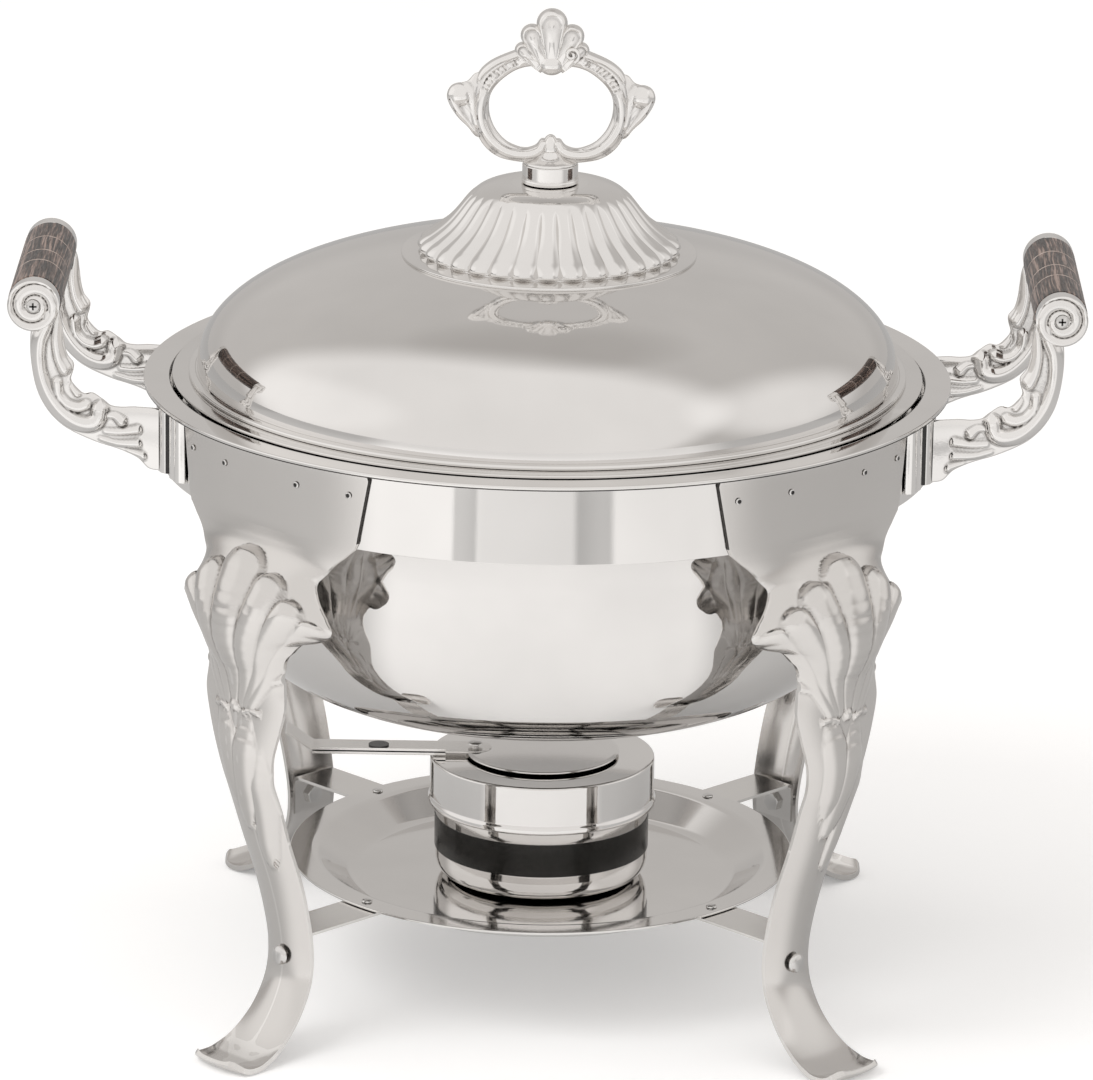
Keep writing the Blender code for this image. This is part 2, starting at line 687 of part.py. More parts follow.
def make_lid_handle(steel):
    """The cast loop with its shell, side knobs and foot, and the stud that runs down through the lid."""
    half = smooth(LOOP_LINE, 2)
    loop = half + [(-x, z, w, t) for x, z, w, t in reversed(half[1:-1])]
    handle = swept("lid_handle", loop, steel, closed=True)
    foot_low = COLLAR_TOP + GAP
    foot = [(0, 0.3475), (0.0050, 0.3465), (0.0090, foot_low), (0, foot_low)]
    stud = [(0, 0.3440), (STUD_RADIUS, 0.3440), (STUD_RADIUS, NUT_LOW - 0.001), (0, NUT_LOW - 0.001)]
    lumps = [
        ball("shell", (0, 0, 0.3905), (0.0135, 0.0062, 0.0140), steel),
        ball("bud", (0, 0, 0.3475), (0.0040, 0.0042, 0.0050), steel),
        ball("knob_left", (-0.0345, 0, 0.3685), (0.0075, 0.0050, 0.0052), steel),
        ball("knob_right", (0.0345, 0, 0.3685), (0.0075, 0.0050, 0.0052), steel),
        turned("foot", foot, steel, 14),
        turned("stud", stud, steel, 12),
    ]
    combined(handle, lumps, "UNION")


WASHER_TOP = DOME_TOP - SHEET - 2 * GAP
WASHER_RADIUS = 0.0090
NUT_TOP = WASHER_TOP - SHEET - GAP
NUT_LOW = NUT_TOP - 0.0040
NUT_RADIUS = 0.0062


def make_lid_fixing(steel):
    """Washer and hexagonal nut that hold the crown and handle from inside the dome."""
    washer = [
        (STUD_HOLE, WASHER_TOP),
        (WASHER_RADIUS, WASHER_TOP),
        (WASHER_RADIUS, WASHER_TOP - SHEET),
        (STUD_HOLE, WASHER_TOP - SHEET),
    ]
    turned("lid_washer", washer, steel, 16)
    bore = STUD_HOLE / math.cos(math.pi / 6)
    nut = [(bore, NUT_TOP), (NUT_RADIUS, NUT_TOP), (NUT_RADIUS, NUT_LOW), (bore, NUT_LOW)]
    turned("lid_nut", nut, steel, 6)


# --- Fuel holder --------------------------------------------------------------------------------------

CUP_BOTTOM = TRAY_FLOOR_TOP + GAP
CUP_SHEET = 0.0008
COVER_RADIUS, COVER_DEPTH = 0.0460, 0.0200
COVER_OPENING = 0.0230
PIVOT_X = -0.0275  # snuffer pivot, from the holder's middle
PIVOT_HOLE = 0.0018
DISC_RADIUS = 0.0315
DISC_LOW = CUP_TOP + 0.0010
ARM_LOW = DISC_LOW + SHEET + GAP
ARM_HALF_WIDTH = 0.0068
ARM_START, ARM_BEND, ARM_END = -0.0205, -0.0940, -0.1040
ARM_LIFT = 0.0075  # rise of the bent end


def make_cup(steel):
    curve = 0.0045
    inner, floor, rim = CUP_RADIUS - CUP_SHEET, CUP_BOTTOM + CUP_SHEET, CUP_TOP - CUP_SHEET - GAP
    outline = [
        (inner, rim),
        (CUP_RADIUS, rim),
        (CUP_RADIUS, CUP_BOTTOM + curve),
        (CUP_RADIUS - curve * 0.3, CUP_BOTTOM + curve * 0.3),
        (CUP_RADIUS - curve, CUP_BOTTOM),
        (0, CUP_BOTTOM),
        (0, floor),
        (inner - curve, floor),
        (inner - curve * 0.3, floor + curve * 0.3),
        (inner, floor + curve),
    ]
    turned("fuel_cup", outline, steel, 28)


def make_cover(steel):
    """The ring that caps the cup, with a beaded skirt and a round burner opening."""
    inner, low, bead = COVER_RADIUS - SHEET, CUP_TOP - COVER_DEPTH, 0.0020
    outline = [
        (COVER_OPENING, CUP_TOP),
        (COVER_RADIUS - 0.0010, CUP_TOP),
        (COVER_RADIUS, CUP_TOP - 0.0010),
        (COVER_RADIUS, low + bead),
        (COVER_RADIUS + 0.0007, low + bead * 0.7),
        (COVER_RADIUS + 0.0007, low),
        (inner, low),
        (inner, CUP_TOP - CUP_SHEET),
        (COVER_OPENING, CUP_TOP - CUP_SHEET),
    ]
    cover = turned("fuel_holder_cover", outline, steel, 28)
    combined(cover, [drill((PIVOT_X, 0, CUP_TOP), Z_AXIS, PIVOT_HOLE, 0.003)], "DIFFERENCE")


def make_snuffer(steel):
    """The disc over the burner opening, its arm, and the rivet that both swing on."""
    outline = [(0, DISC_LOW + SHEET), (DISC_RADIUS, DISC_LOW + SHEET), (DISC_RADIUS, DISC_LOW), (0, DISC_LOW)]
    disc = turned("snuffer_disc", outline, steel, 28)
    combined(disc, [drill((PIVOT_X, 0, DISC_LOW), Z_AXIS, PIVOT_HOLE, 0.003)], "DIFFERENCE")

    # Side view of the arm, x and z, along its lower face and back along its upper one.
    side = (
        (ARM_START, ARM_LOW),
        (ARM_START, ARM_LOW + SHEET),
        (ARM_BEND, ARM_LOW + SHEET),
        (ARM_END, ARM_LOW + SHEET + ARM_LIFT),
        (ARM_END - SHEET * 0.6, ARM_LOW + ARM_LIFT + SHEET * 0.2),
        (ARM_BEND - SHEET * 0.6, ARM_LOW),
    )
    arm = lofted("snuffer_arm", [[(x, y, z) for x, z in side] for y in (-ARM_HALF_WIDTH, ARM_HALF_WIDTH)], steel)
    lip = block(
        "lip",
        (ARM_BEND, -ARM_HALF_WIDTH, ARM_LOW - 0.0019),
        (PIVOT_X - 0.0120, -ARM_HALF_WIDTH + SHEET, ARM_LOW + SHEET / 2),
        steel,
    )
    combined(arm, [lip], "UNION")
    slot = drill((-0.0670, 0, ARM_LOW), Z_AXIS, 0.0022, 0.003)
    slot.scale = (1.6, 1, 1)
    drills = [slot, drill((PIVOT_X, 0, ARM_LOW), Z_AXIS, PIVOT_HOLE, 0.003)]
    combined(arm, drills, "DIFFERENCE")

    top = ARM_LOW + SHEET + GAP
    fastener(
        "snuffer_rivet",
        steel,
        (PIVOT_X, 0, top),
        Z_AXIS,
        head=(0.0030, 0.0010),
        shank=(0.0014, top - CUP_TOP + CUP_SHEET + GAP),
        tail=(0.0026, 0.0006),
        steps=10,
    )


def main():
    clear_scene()
    steel = make_material("polished_steel", (0.72, 0.70, 0.68), 0.12, 1.0)
    satin = make_material("satin_steel", (0.66, 0.64, 0.62), 0.28, 1.0)
    wood = make_material("dark_wood", (0.10, 0.07, 0.06), 0.45, 0.0)
    make_band(steel)
    make_legs(satin)
    make_panel_rivets(satin)
    make_tray(steel)
    make_straps(satin)
    make_tray_fasteners(satin)
    make_handles(satin, wood)
    make_water_pan(steel)
    make_food_pan(steel)
    make_dome(steel)
    make_crown(steel)
    make_collar(steel)
    make_lid_handle(satin)
    make_lid_fixing(satin)
    make_cup(steel)
    make_cover(steel)
    make_snuffer(satin)


main()
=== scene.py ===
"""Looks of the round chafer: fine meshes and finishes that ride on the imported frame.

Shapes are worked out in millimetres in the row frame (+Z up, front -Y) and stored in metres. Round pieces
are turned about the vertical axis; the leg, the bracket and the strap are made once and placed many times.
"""

from math import atan2, cos, degrees, pi, radians, sin, sqrt

import bmesh
import bpy
import numpy as np
from mathutils import Matrix, Vector


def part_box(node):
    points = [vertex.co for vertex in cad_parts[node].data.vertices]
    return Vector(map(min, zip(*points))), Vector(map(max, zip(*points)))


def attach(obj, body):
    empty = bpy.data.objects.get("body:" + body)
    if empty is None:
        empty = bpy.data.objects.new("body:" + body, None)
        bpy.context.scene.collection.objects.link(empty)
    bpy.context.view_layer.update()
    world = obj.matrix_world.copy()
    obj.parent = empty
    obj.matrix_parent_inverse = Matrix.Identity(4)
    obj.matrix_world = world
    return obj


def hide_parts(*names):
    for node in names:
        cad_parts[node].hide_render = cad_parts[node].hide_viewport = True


MM = 0.001
LEG_ANGLES = {"front_left": 225, "front_right": 315, "back_right": 45, "back_left": 135}
SIDES = {"left": -1, "right": 1}
ENDS = {"front": -1, "back": 1}
Z_AXIS = Vector((0, 0, 1))

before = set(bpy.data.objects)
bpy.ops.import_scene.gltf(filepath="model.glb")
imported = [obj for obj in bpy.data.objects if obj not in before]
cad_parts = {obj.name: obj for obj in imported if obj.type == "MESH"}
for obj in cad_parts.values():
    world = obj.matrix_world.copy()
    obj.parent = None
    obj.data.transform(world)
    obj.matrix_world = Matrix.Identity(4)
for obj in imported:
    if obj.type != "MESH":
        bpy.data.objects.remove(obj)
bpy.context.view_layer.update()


# --- Mesh helpers ---


def size_of(node):
    """A CAD node's largest radius, lowest and highest z, in millimetres."""
    points = np.array([vertex.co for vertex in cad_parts[node].data.vertices]) / MM
    return float(np.hypot(points[:, 0], points[:, 1]).max()), points[:, 2].min(), points[:, 2].max()


def new_object(name, vertices, faces, material, sharp=38):
    """An object from millimetre points, its faces pointing out and its round stretches smooth."""
    mesh = bpy.data.meshes.new(name)
    mesh.from_pydata((np.asarray(vertices, float) * MM).tolist(), [], faces)
    shape = bmesh.new()
    shape.from_mesh(mesh)
    bmesh.ops.remove_doubles(shape, verts=shape.verts, dist=2e-7)
    bmesh.ops.recalc_face_normals(shape, faces=shape.faces)
    shape.to_mesh(mesh)
    shape.free()
    mesh.materials.append(material)
    mesh.shade_smooth()
    mesh.set_sharp_from_angle(angle=radians(sharp))
    return linked(name, mesh)


def linked(name, data):
    """A new object in the scene."""
    thing = bpy.data.objects.new(name, data)
    bpy.context.scene.collection.objects.link(thing)
    return thing


def quads(rows, columns, wrap_rows=False, wrap_columns=False):
    """Faces of a grid of points stored row by row."""
    faces = []
    for r in range(rows if wrap_rows else rows - 1):
        below = (r + 1) % rows
        for c in range(columns if wrap_columns else columns - 1):
            beside = (c + 1) % columns
            here, under = r * columns, below * columns
            faces.append((here + c, here + beside, under + beside, under + c))
    return faces


def tube_skin(name, rings, material, closed=False, sharp=38):
    """A skin over rings of points, with flat ends unless it closes on itself."""
    rings = np.asarray(rings, float)
    rows, columns = rings.shape[:2]
    faces = quads(rows, columns, wrap_rows=closed, wrap_columns=True)
    if not closed:
        faces.append(tuple(range(columns)))
        faces.append(tuple(range((rows - 1) * columns, rows * columns)))
    return new_object(name, rings.reshape(-1, 3), faces, material, sharp)


def rounded(corners, steps=4):
    """A closed outline from (x, y, fillet) corners."""
    outline = []
    for i, (x, y, fillet) in enumerate(corners):
        here = np.array((x, y), float)
        before, after = (np.array(corners[j % len(corners)][:2], float) for j in (i - 1, i + 1))
        if fillet <= 0:
            outline.append(here)
            continue
        start = here + (before - here) / np.linalg.norm(before - here) * fillet
        end = here + (after - here) / np.linalg.norm(after - here) * fillet
        outline.extend(bent(start, here, end, steps + 1))
    return np.array(outline)


def bent(start, corner, end, count):
    """A curve from start to end, drawn towards a corner."""
    t = np.linspace(0, 1, count)[:, None]
    return (1 - t) ** 2 * start + 2 * t * (1 - t) * corner + t**2 * end


def smooth(points, steps):
    """A smooth curve through points, steps samples to a span."""
    points = np.asarray(points, float)
    padded = np.vstack((points[:1], points, points[-1:]))
    t = np.arange(steps)[:, None] / steps
    spans = []
    for p0, p1, p2, p3 in zip(padded, padded[1:], padded[2:], padded[3:]):
        square, cube = 2 * p0 - 5 * p1 + 4 * p2 - p3, 3 * p1 - p0 - 3 * p2 + p3
        spans.append(0.5 * (2 * p1 + (p2 - p0) * t + square * t**2 + cube * t**3))
    return np.vstack((*spans, points[-1:]))


def turned(name, outline, material, steps=160, sharp=38, lobes=None):
    """A closed (radius, height) outline turned about +Z. Lobes may move the radius."""
    outline = np.asarray(outline, float)[:, :2]
    angle = np.arange(steps) * 2 * pi / steps
    radius = np.repeat(outline[:, :1], steps, axis=1)
    height = np.repeat(outline[:, 1:], steps, axis=1)
    if lobes:
        radius = radius + lobes(radius, height, angle[None, :])
    points = np.stack((radius * np.cos(angle), radius * np.sin(angle), height), axis=-1)
    faces = quads(len(outline), steps, wrap_rows=True, wrap_columns=True)
    return new_object(name, points.reshape(-1, 3), faces, material, sharp)


def stand(thing, at, along):
    """Puts a piece made about +Z at a place, along a direction."""
    turn = Z_AXIS.rotation_difference(Vector(along)).to_matrix().to_4x4()
    thing.data.transform(Matrix.Translation(Vector(at) * MM) @ turn)
    return thing


def joined(name, things):
    """One object from several, with their materials."""
    bpy.ops.object.select_all(action="DESELECT")
    for thing in things:
        thing.select_set(True)
    bpy.context.view_layer.objects.active = things[0]
    bpy.ops.object.join()
    things[0].name = name
    return things[0]


def copy_of(thing, name, transform):
    """A transformed copy, its faces still pointing out."""
    mesh = thing.data.copy()
    mesh.transform(transform)
    if transform.determinant() < 0:
        mesh.flip_normals()
    return linked(name, mesh)


def on_legs(model, name):
    """Copies of a piece made along +X, as (leg, copy)."""
    copies = []
    for corner, angle in LEG_ANGLES.items():
        turn = Matrix.Rotation(radians(angle), 4, "Z")
        copies.append((corner, copy_of(model, f"{name}_{corner}", turn)))
    bpy.data.objects.remove(model)
    return copies


def place(thing, body, node_name=None):
    """Lets a piece ride on a body and stand for its CAD node. Its flat faces are shaded flat."""
    thing.modifiers.new("flat_faces", "WEIGHTED_NORMAL").keep_sharp = True
    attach(thing, body)
    if node_name:
        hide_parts(node_name)


def round_edges(thing, width):
    bevel = thing.modifiers.new("edge", "BEVEL")
    bevel.width, bevel.segments, bevel.limit_method = width, 2, "ANGLE"
    return bevel


def polar(angle, radius, height=0.0):
    turn = radians(angle)
    return Vector((radius * cos(turn), radius * sin(turn), height))


def ridge_height(x, z, line, height, half_width, power=0.5):
    """Height at (x, z) of a rounded ridge along a line. A higher power gives it softer flanks."""
    line = np.asarray(line, float)
    lengths = np.linalg.norm(np.diff(line, axis=0), axis=1)
    starts = np.concatenate(([0], np.cumsum(lengths)))
    total = np.zeros_like(x)
    for i, (start, end) in enumerate(zip(line, line[1:])):
        way = end - start
        t = np.clip(((x - start[0]) * way[0] + (z - start[1]) * way[1]) / (way @ way), 0, 1)
        far = np.hypot(x - start[0] - t * way[0], z - start[1] - t * way[1])
        share = (starts[i] + t * lengths[i]) / starts[-1]
        width = np.interp(share, *half_width)
        rise = np.interp(share, *height) * np.clip(1 - (far / width) ** 2, 0, 1) ** power
        total = np.maximum(total, rise)
    return total


def even_ridge(x, z, line, rise, width):
    """A ridge that stays the same all along."""
    return ridge_height(x, z, line, ((0, 1), (rise, rise)), ((0, 1), (width, width)))


# --- Finishes ---


def feed(tree, made, inputs):
    """Sets a node's inputs to plain values or links them to sockets."""
    for key, value in inputs.items():
        if isinstance(value, bpy.types.NodeSocket):
            tree.links.new(value, made.inputs[key])
        else:
            made.inputs[key].default_value = value


def node(tree, kind, inputs=(), **settings):
    made = tree.nodes.new("ShaderNode" + kind)
    for key, value in settings.items():
        setattr(made, key, value)
    feed(tree, made, dict(inputs))
    return made


def step(tree, value, start, end, low, high, **settings):
    """A value that goes from low to high while another goes from start to end."""
    inputs = {0: value, 1: start, 2: end, 3: low, 4: high}
    return node(tree, "MapRange", inputs, **settings).outputs[0]


def soft_step(tree, *numbers):
    return step(tree, *numbers, interpolation_type="SMOOTHSTEP")


def ramp(tree, factor, *stops):
    made = node(tree, "ValToRGB", {"Fac": factor})
    elements = made.color_ramp.elements
    for position, _ in stops[2:]:
        elements.new(position)
    for element, (position, colour) in zip(elements, stops):
        element.position = position
        element.color = (*colour, 1)
    return made.outputs["Color"]


def blend(tree, factor, first, second):
    return node(tree, "Mix", {0: factor, 6: first, 7: second}, data_type="RGBA").outputs[2]


def bumps(tree, strength, depth, height):
    return node(tree, "Bump", {"Strength": strength, "Distance": depth, "Height": height}).outputs[0]


def new_material(name):
    """A material, its tree, its shader and the place on the object."""
    material = bpy.data.materials.new(name)
    material.use_nodes = True
    tree = material.node_tree
    return material, tree, tree.nodes["Principled BSDF"], node(tree, "TexCoord").outputs["Object"]


def noise(tree, where, scale, stretch=(1, 1, 1), detail=4.0, rough=0.55):
    mapping = node(tree, "Mapping", {"Vector": where, "Scale": stretch}).outputs[0]
    inputs = {"Vector": mapping, "Scale": scale, "Detail": detail, "Roughness": rough}
    return node(tree, "TexNoise", inputs).outputs[0]


def metal(name, colour, roughness, grain, stretch, bump, cloud=0.06, hollow_shade=0.0):
    """Steel with fine grain, a slow cloud in tone, a painted highlight on sharp edges and, if asked, painted
    shade in hollows.
    """
    material, tree, shader, where = new_material(name)
    fine = noise(tree, where, grain, stretch, 3.0)
    slow = noise(tree, where, 14.0, detail=3.0)
    edge = node(tree, "NewGeometry").outputs["Pointiness"]
    low, high = (tuple(value * factor for value in colour) for factor in (1 - cloud, 1 + cloud * 0.5))
    tone = ramp(tree, slow, (0.3, low), (0.7, high))
    # Painted highlight: sharp edges, found by pointiness, are lightened towards a pale colour.
    edge_highlight = blend(tree, step(tree, edge, 0.50, 0.56, 0.0, 0.35), tone, EDGE_HIGHLIGHT_COLOUR)
    looks = {
        # Painted shade: hollows, found by low pointiness, are darkened towards a dark colour by the given
        # amount.
        "Base Color": blend(tree, step(tree, edge, 0.43, 0.498, hollow_shade, 0), edge_highlight, HOLLOW_SHADE_COLOUR),
        "Roughness": step(tree, fine, 0.25, 0.75, roughness * 0.8, roughness * 1.25),
        "Metallic": 1.0,
        "Normal": bumps(tree, bump, 0.0002, fine),
    }
    feed(tree, shader, looks)
    return material


def dark_wood(name):
    """Dark streaked wood, its grain running along the grip."""
    material, tree, shader, where = new_material(name)
    warp = noise(tree, where, 60.0, (1, 0.25, 1), 2.0)
    offset = node(tree, "VectorMath", {0: warp, "Scale": 0.004}, operation="SCALE").outputs[0]
    shifted = node(tree, "VectorMath", {0: where, 1: offset}, operation="ADD").outputs[0]
    streak = noise(tree, shifted, 900.0, (1, 0.035, 1), 5.0, 0.6)
    pores = noise(tree, where, 1900.0, (1, 0.10, 1), 2.0)
    looks = {
        "Base Color": ramp(tree, streak, *WOOD_TONES),
        "Roughness": step(tree, pores, 0.3, 0.7, 0.32, 0.55),
        "Normal": bumps(tree, 0.35, 0.0003, streak),
        "Coat Weight": 0.25,
        "Coat Roughness": 0.2,
    }
    feed(tree, shader, looks)
    return material


def plain(name, dark, light, roughness, metallic=0.0):
    """Two close tones in a fine mottle."""
    material, tree, shader, where = new_material(name)
    mottle = noise(tree, where, 700.0)
    looks = {
        "Base Color": ramp(tree, mottle, (0.35, dark), (0.65, light)),
        "Roughness": step(tree, mottle, 0.3, 0.7, roughness * 0.85, roughness * 1.15),
        "Metallic": metallic,
        "Normal": bumps(tree, 0.15, 0.0001, mottle),
    }
    feed(tree, shader, looks)
    return material


# Pale colour of the painted highlight on sharp edges.
EDGE_HIGHLIGHT_COLOUR = (0.93, 0.92, 0.90, 1)
# Dark colour of the painted shade in hollows.
HOLLOW_SHADE_COLOUR = (0.10, 0.09, 0.08, 1)
WOOD_TONES = (
    (0.36, (0.010, 0.007, 0.006)),
    (0.46, (0.030, 0.019, 0.015)),
    (0.53, (0.085, 0.055, 0.044)),
    (0.62, (0.300, 0.215, 0.180)),
)
POLISHED = metal("polished_steel", (0.74, 0.725, 0.71), 0.075, 900.0, (1, 1, 0.2), 0.02)
MIRROR = metal("mirror_steel", (0.78, 0.765, 0.75), 0.04, 900.0, (1, 1, 0.2), 0.012)
# The last number of the satin, cast and fastener finishes is how far painted shade darkens their hollows.
SATIN = metal("satin_steel", (0.68, 0.66, 0.64), 0.18, 2600.0, (1, 1, 1), 0.10, 0.04, 0.5)
CAST = metal("cast_metal", (0.82, 0.805, 0.79), 0.09, 1300.0, (1, 1, 1), 0.05, 0.06, 0.95)
FASTENER = metal("fastener_steel", (0.62, 0.61, 0.60), 0.20, 1800.0, (1, 1, 1), 0.08, 0.06, 0.7)
WOOD = dark_wood("dark_wood")
# Near-black painted shade for thin edges: the panel side edges and the water pan's lip.
PAINTED_SHADE_EDGE = plain("painted_shade_edge", (0.035, 0.032, 0.030), (0.075, 0.070, 0.066), 0.5, 0.6)
# Near black as painted shade in grooves, holes and recesses, and as a painted reflection band round the fuel
# cup.
SHADE_AND_REFLECTION_BLACK = plain("black_painted_shade_and_reflection", (0.005, 0.005, 0.004), (0.011, 0.010, 0.008), 0.22)
RING_LINE = plain("grip_line", (0.30, 0.24, 0.21), (0.48, 0.41, 0.37), 0.4)


# --- Pans, band and lid ---

# Bowls of the pans: radius and height of the bowl's top, power of its curve, steps down it.
WATER_BOWL = (137.0, 215.0, 3.6, 56)
FOOD_BOWL = (124.0, 202.0, 3.0, 36)
SEAT_GAP = 0.03
LID_BORE = 3.1


def superellipse(radius, top, bottom, power, steps):
    """A bowl's curve from its wall down to the middle of its bottom."""
    turn = np.linspace(0, pi / 2, steps + 1)
    across = np.cos(turn).clip(0) ** (2 / power)
    across[-1] = 0
    return np.column_stack((radius * across, top - (top - bottom) * np.sin(turn) ** (2 / power)))


def make_pan(node_name, rim, wall_low, bowl, sheet, material, steps):
    """A pan from its rim's corners, its wall's low end and its bowl."""
    radius, top, power, bowl_steps = bowl
    bottom = size_of(node_name)[1]
    outside = superellipse(radius, top, bottom, power, bowl_steps)
    inside = superellipse(radius - sheet, top, bottom + sheet, power, bowl_steps)[::-1]
    outline = np.vstack((rounded(rim), outside, inside, [(rim[0][0], wall_low)]))
    return turned(f"{node_name}_shell", outline, material, steps)


def make_water_pan():
    radius, _, top = size_of("water_pan")
    wall, wall_low, sheet, lip = 153.0, 242.0, 1.0, top - 1.25
    low, inner = top - 1.8, radius - 1
    rim = [(wall - sheet, top, 1.2), (radius, top, 0.7), (radius, lip, 0), (radius, low, 0.3)]
    rim += [(inner, low, 0.35), (inner, top - sheet, 0.3), (wall, top - sheet, 1.0), (wall, wall_low, 2.0)]
    pan = make_pan("water_pan", rim, wall_low, WATER_BOWL, sheet, MIRROR, 200)
    # The lip's lower outer faces take the dark colour as a painted shade line under the flange.
    pan.data.materials.append(PAINTED_SHADE_EDGE)
    for face in pan.data.polygons:
        if face.center.z < lip * MM and face.center.xy.length > (radius - 1.1) * MM:
            face.material_index = 1
    place(pan, "water_pan", "water_pan")


def make_food_pan():
    radius, _, top = size_of("food_pan")
    wall, wall_low, sheet, seat = 141.3, 250.0, 0.8, size_of("water_pan")[2] + SEAT_GAP
    rim = [(wall - sheet, top, 1.4), (radius, top, 0.35), (radius, seat, 0.1)]
    rim += [(wall, seat, 0.5), (wall, wall_low, 1.0)]
    pan = make_pan("food_pan", rim, wall_low, FOOD_BOWL, sheet, POLISHED, 180)
    place(pan, "food_pan", "food_pan")


def make_band():
    radius, bottom, top = size_of("frame_band")
    inner = radius - 1.2
    corners = [(radius, top, 0.3), (radius, bottom, 0.45), (inner, bottom, 0.3), (inner, top, 0.3)]
    place(turned("ring_band", rounded(corners), MIRROR, 200), "frame", "frame_band")


DOME_RADIUS, DOME_BASE, DOME_TOP = 141.3, 256.4, 307.3
DOME_SIDE_POWER, DOME_TOP_POWER = 2.1, 2.27


def dome_height(radius, inset=0.0):
    """Height of the dome, or of a face set in from it."""
    share = np.clip(radius / (DOME_RADIUS - inset), 0, 1)
    return DOME_BASE + (DOME_TOP - DOME_BASE - inset) * (1 - share**DOME_SIDE_POWER) ** (1 / DOME_TOP_POWER)


def make_dome():
    edge, low = size_of("lid_dome")[0], size_of("food_pan")[2] + SEAT_GAP
    turn = np.linspace(pi / 2, 0, 72)
    curves = []
    for inset in (0.0, 1.0):
        radius = np.maximum((DOME_RADIUS - inset) * np.sin(turn) ** (2 / DOME_SIDE_POWER), LID_BORE)
        curves.append(np.column_stack((radius, dome_height(radius, inset))))
    rim = [(DOME_RADIUS - 1, low, 0.2), (edge, low, 0.8), (edge, low + 1.8, 0.8), (142.0, low + 2.0, 0.3)]
    dome = turned("lid_shell", np.vstack((rounded(rim), curves[0], curves[1][::-1])), MIRROR, 220)
    place(dome, "lid", "lid_dome")


FLUTES = 32
CROWN_PROFILE = (
    (50.6, 305.3), (52, 306.3), (51.8, 308.2), (49.9, 310.2), (47.2, 312), (44.4, 314), (41.6, 316.2),
    (39, 318.7), (36.3, 321.9), (33.8, 325.3), (31.2, 328.4), (28.2, 330.7), (24.2, 332.2), (19.8, 332.9),
    (15, 333),
)


def crown_lobes(radius, height, angle):
    """Rounded flutes with sharp valleys that fade out at the shoulder."""
    heights, rises = (305.2, 306.4, 308.6, 312.0, 322.0, 327.0, 330.2), (0, 2.6, 3.0, 2.3, 2.0, 1.4, 0)
    rise = np.interp(height, heights, rises)
    return rise * (np.abs(np.cos(FLUTES / 2 * angle)) ** 0.8 - 0.72) * (radius > 26)


def make_crown():
    edge, _, high = size_of("lid_crown")
    outside = smooth(CROWN_PROFILE, 5)
    inside = outside[::-1] - (1.0, 0.9)
    seat = float(dome_height(edge))
    flange = rounded([(56.0, seat + 0.4, 0), (edge, seat, 0.2), (edge, 304.7, 0.5), (51.0, 305.3, 0.2)])
    outline = np.vstack((flange, outside, [(LID_BORE, high), (LID_BORE, high - 1.0)], inside))
    crown = turned("lid_crown_fluted", outline, MIRROR, FLUTES * 14, 50, crown_lobes)
    place(crown, "lid", "lid_crown")


def make_collar():
    radius, low, high = size_of("lid_collar")
    neck = radius - 0.3
    corners = [(LID_BORE, high, 0.2), (neck, high, 0.5), (neck, low + 1.7, 0.3)]
    corners += [(radius, low + 1.4, 0.3), (radius, low, 0.6), (LID_BORE, low, 0.2)]
    place(turned("lid_ferrule", rounded(corners), CAST, 64), "lid", "lid_collar")


# --- Legs ---

LEG_SHEET = 1.5
PANEL_MIDDLE = 157.05
# Mid-line of the leg below its panel: radius, height, half width, bulge across, and the bulge's power.
LEG_LINE = (
    (157.2, 221.5, 47.2, 7.6, 2), (158, 217, 42, 7, 2), (159.2, 212, 36, 6.4, 2.2),
    (161.4, 208, 31.8, 6.8, 2.6), (163.8, 204, 32.8, 8.8, 3), (167.6, 198, 38, 12.8, 3.4),
    (170.4, 192.5, 40.6, 15.2, 3.2), (172.6, 186, 36.6, 17, 2.7), (173.4, 179, 30.4, 16.5, 2.4),
    (171.9, 172, 24.8, 11.5, 2.2), (169.6, 166, 21.4, 7.2, 2), (168.6, 160, 21.9, 5.6, 2),
    (168.4, 152, 22.5, 4.8, 2), (168.6, 142, 20, 4.4, 2), (168.4, 130, 16.4, 4.1, 2),
    (166.4, 119, 14.6, 4, 2), (162.6, 108, 14.3, 4, 2), (156.6, 90, 13.7, 4, 2), (150, 72, 13.5, 4, 2),
    (145.4, 55, 13, 4, 2), (143.4, 42, 12.7, 4, 2), (144, 31, 12.7, 3.6, 2), (148, 21, 13, 3, 2),
    (153.6, 12.6, 13.6, 2, 2), (160, 6, 14.3, 1, 2), (166, 2.2, 14.9, 0.2, 2),
)
FOOT_LINE = (
    (169, 1.05, 15.1, 0, 2), (172, 0.80, 15.1, 0, 2), (175.2, 0.85, 14.9, -0.2, 2),
    (177.8, 1.45, 14.2, -0.5, 2), (179.8, 2.60, 12.8, -0.9, 2), (181.4, 4.10, 11, -1, 2),
    (182.2, 4.95, 9.2, -0.6, 2),
)
# Shell lobes on the knee, one side: tip's sideways place and height, half width and rise at the tip.
SHELL_LOBES = (
    (0, 203.4, 10.2, 8), (16.2, 199, 7.2, 6.6), (27.2, 194.2, 5.4, 4.6), (35.2, 190.4, 3.8, 3),
)
SHELL_FOOT_Z, SHELL_FOOT_SPREAD, SHELL_FOOT_RISE = 152.0, 0.24, 1.3
LOBE_SHARES = np.linspace(0, 1, 14)
# Leaf tongues down the shank: start and tip (sideways, height), half width, rise.
LEAVES = (
    ((-8, 150), (-4, 108), 6, 1.9),
    ((5.5, 146), (-1, 100), 6.4, 2.2),
    ((11, 132), (4.5, 84), 5.6, 1.9),
    ((7.5, 108), (5, 82), 4.2, 1.5),
)
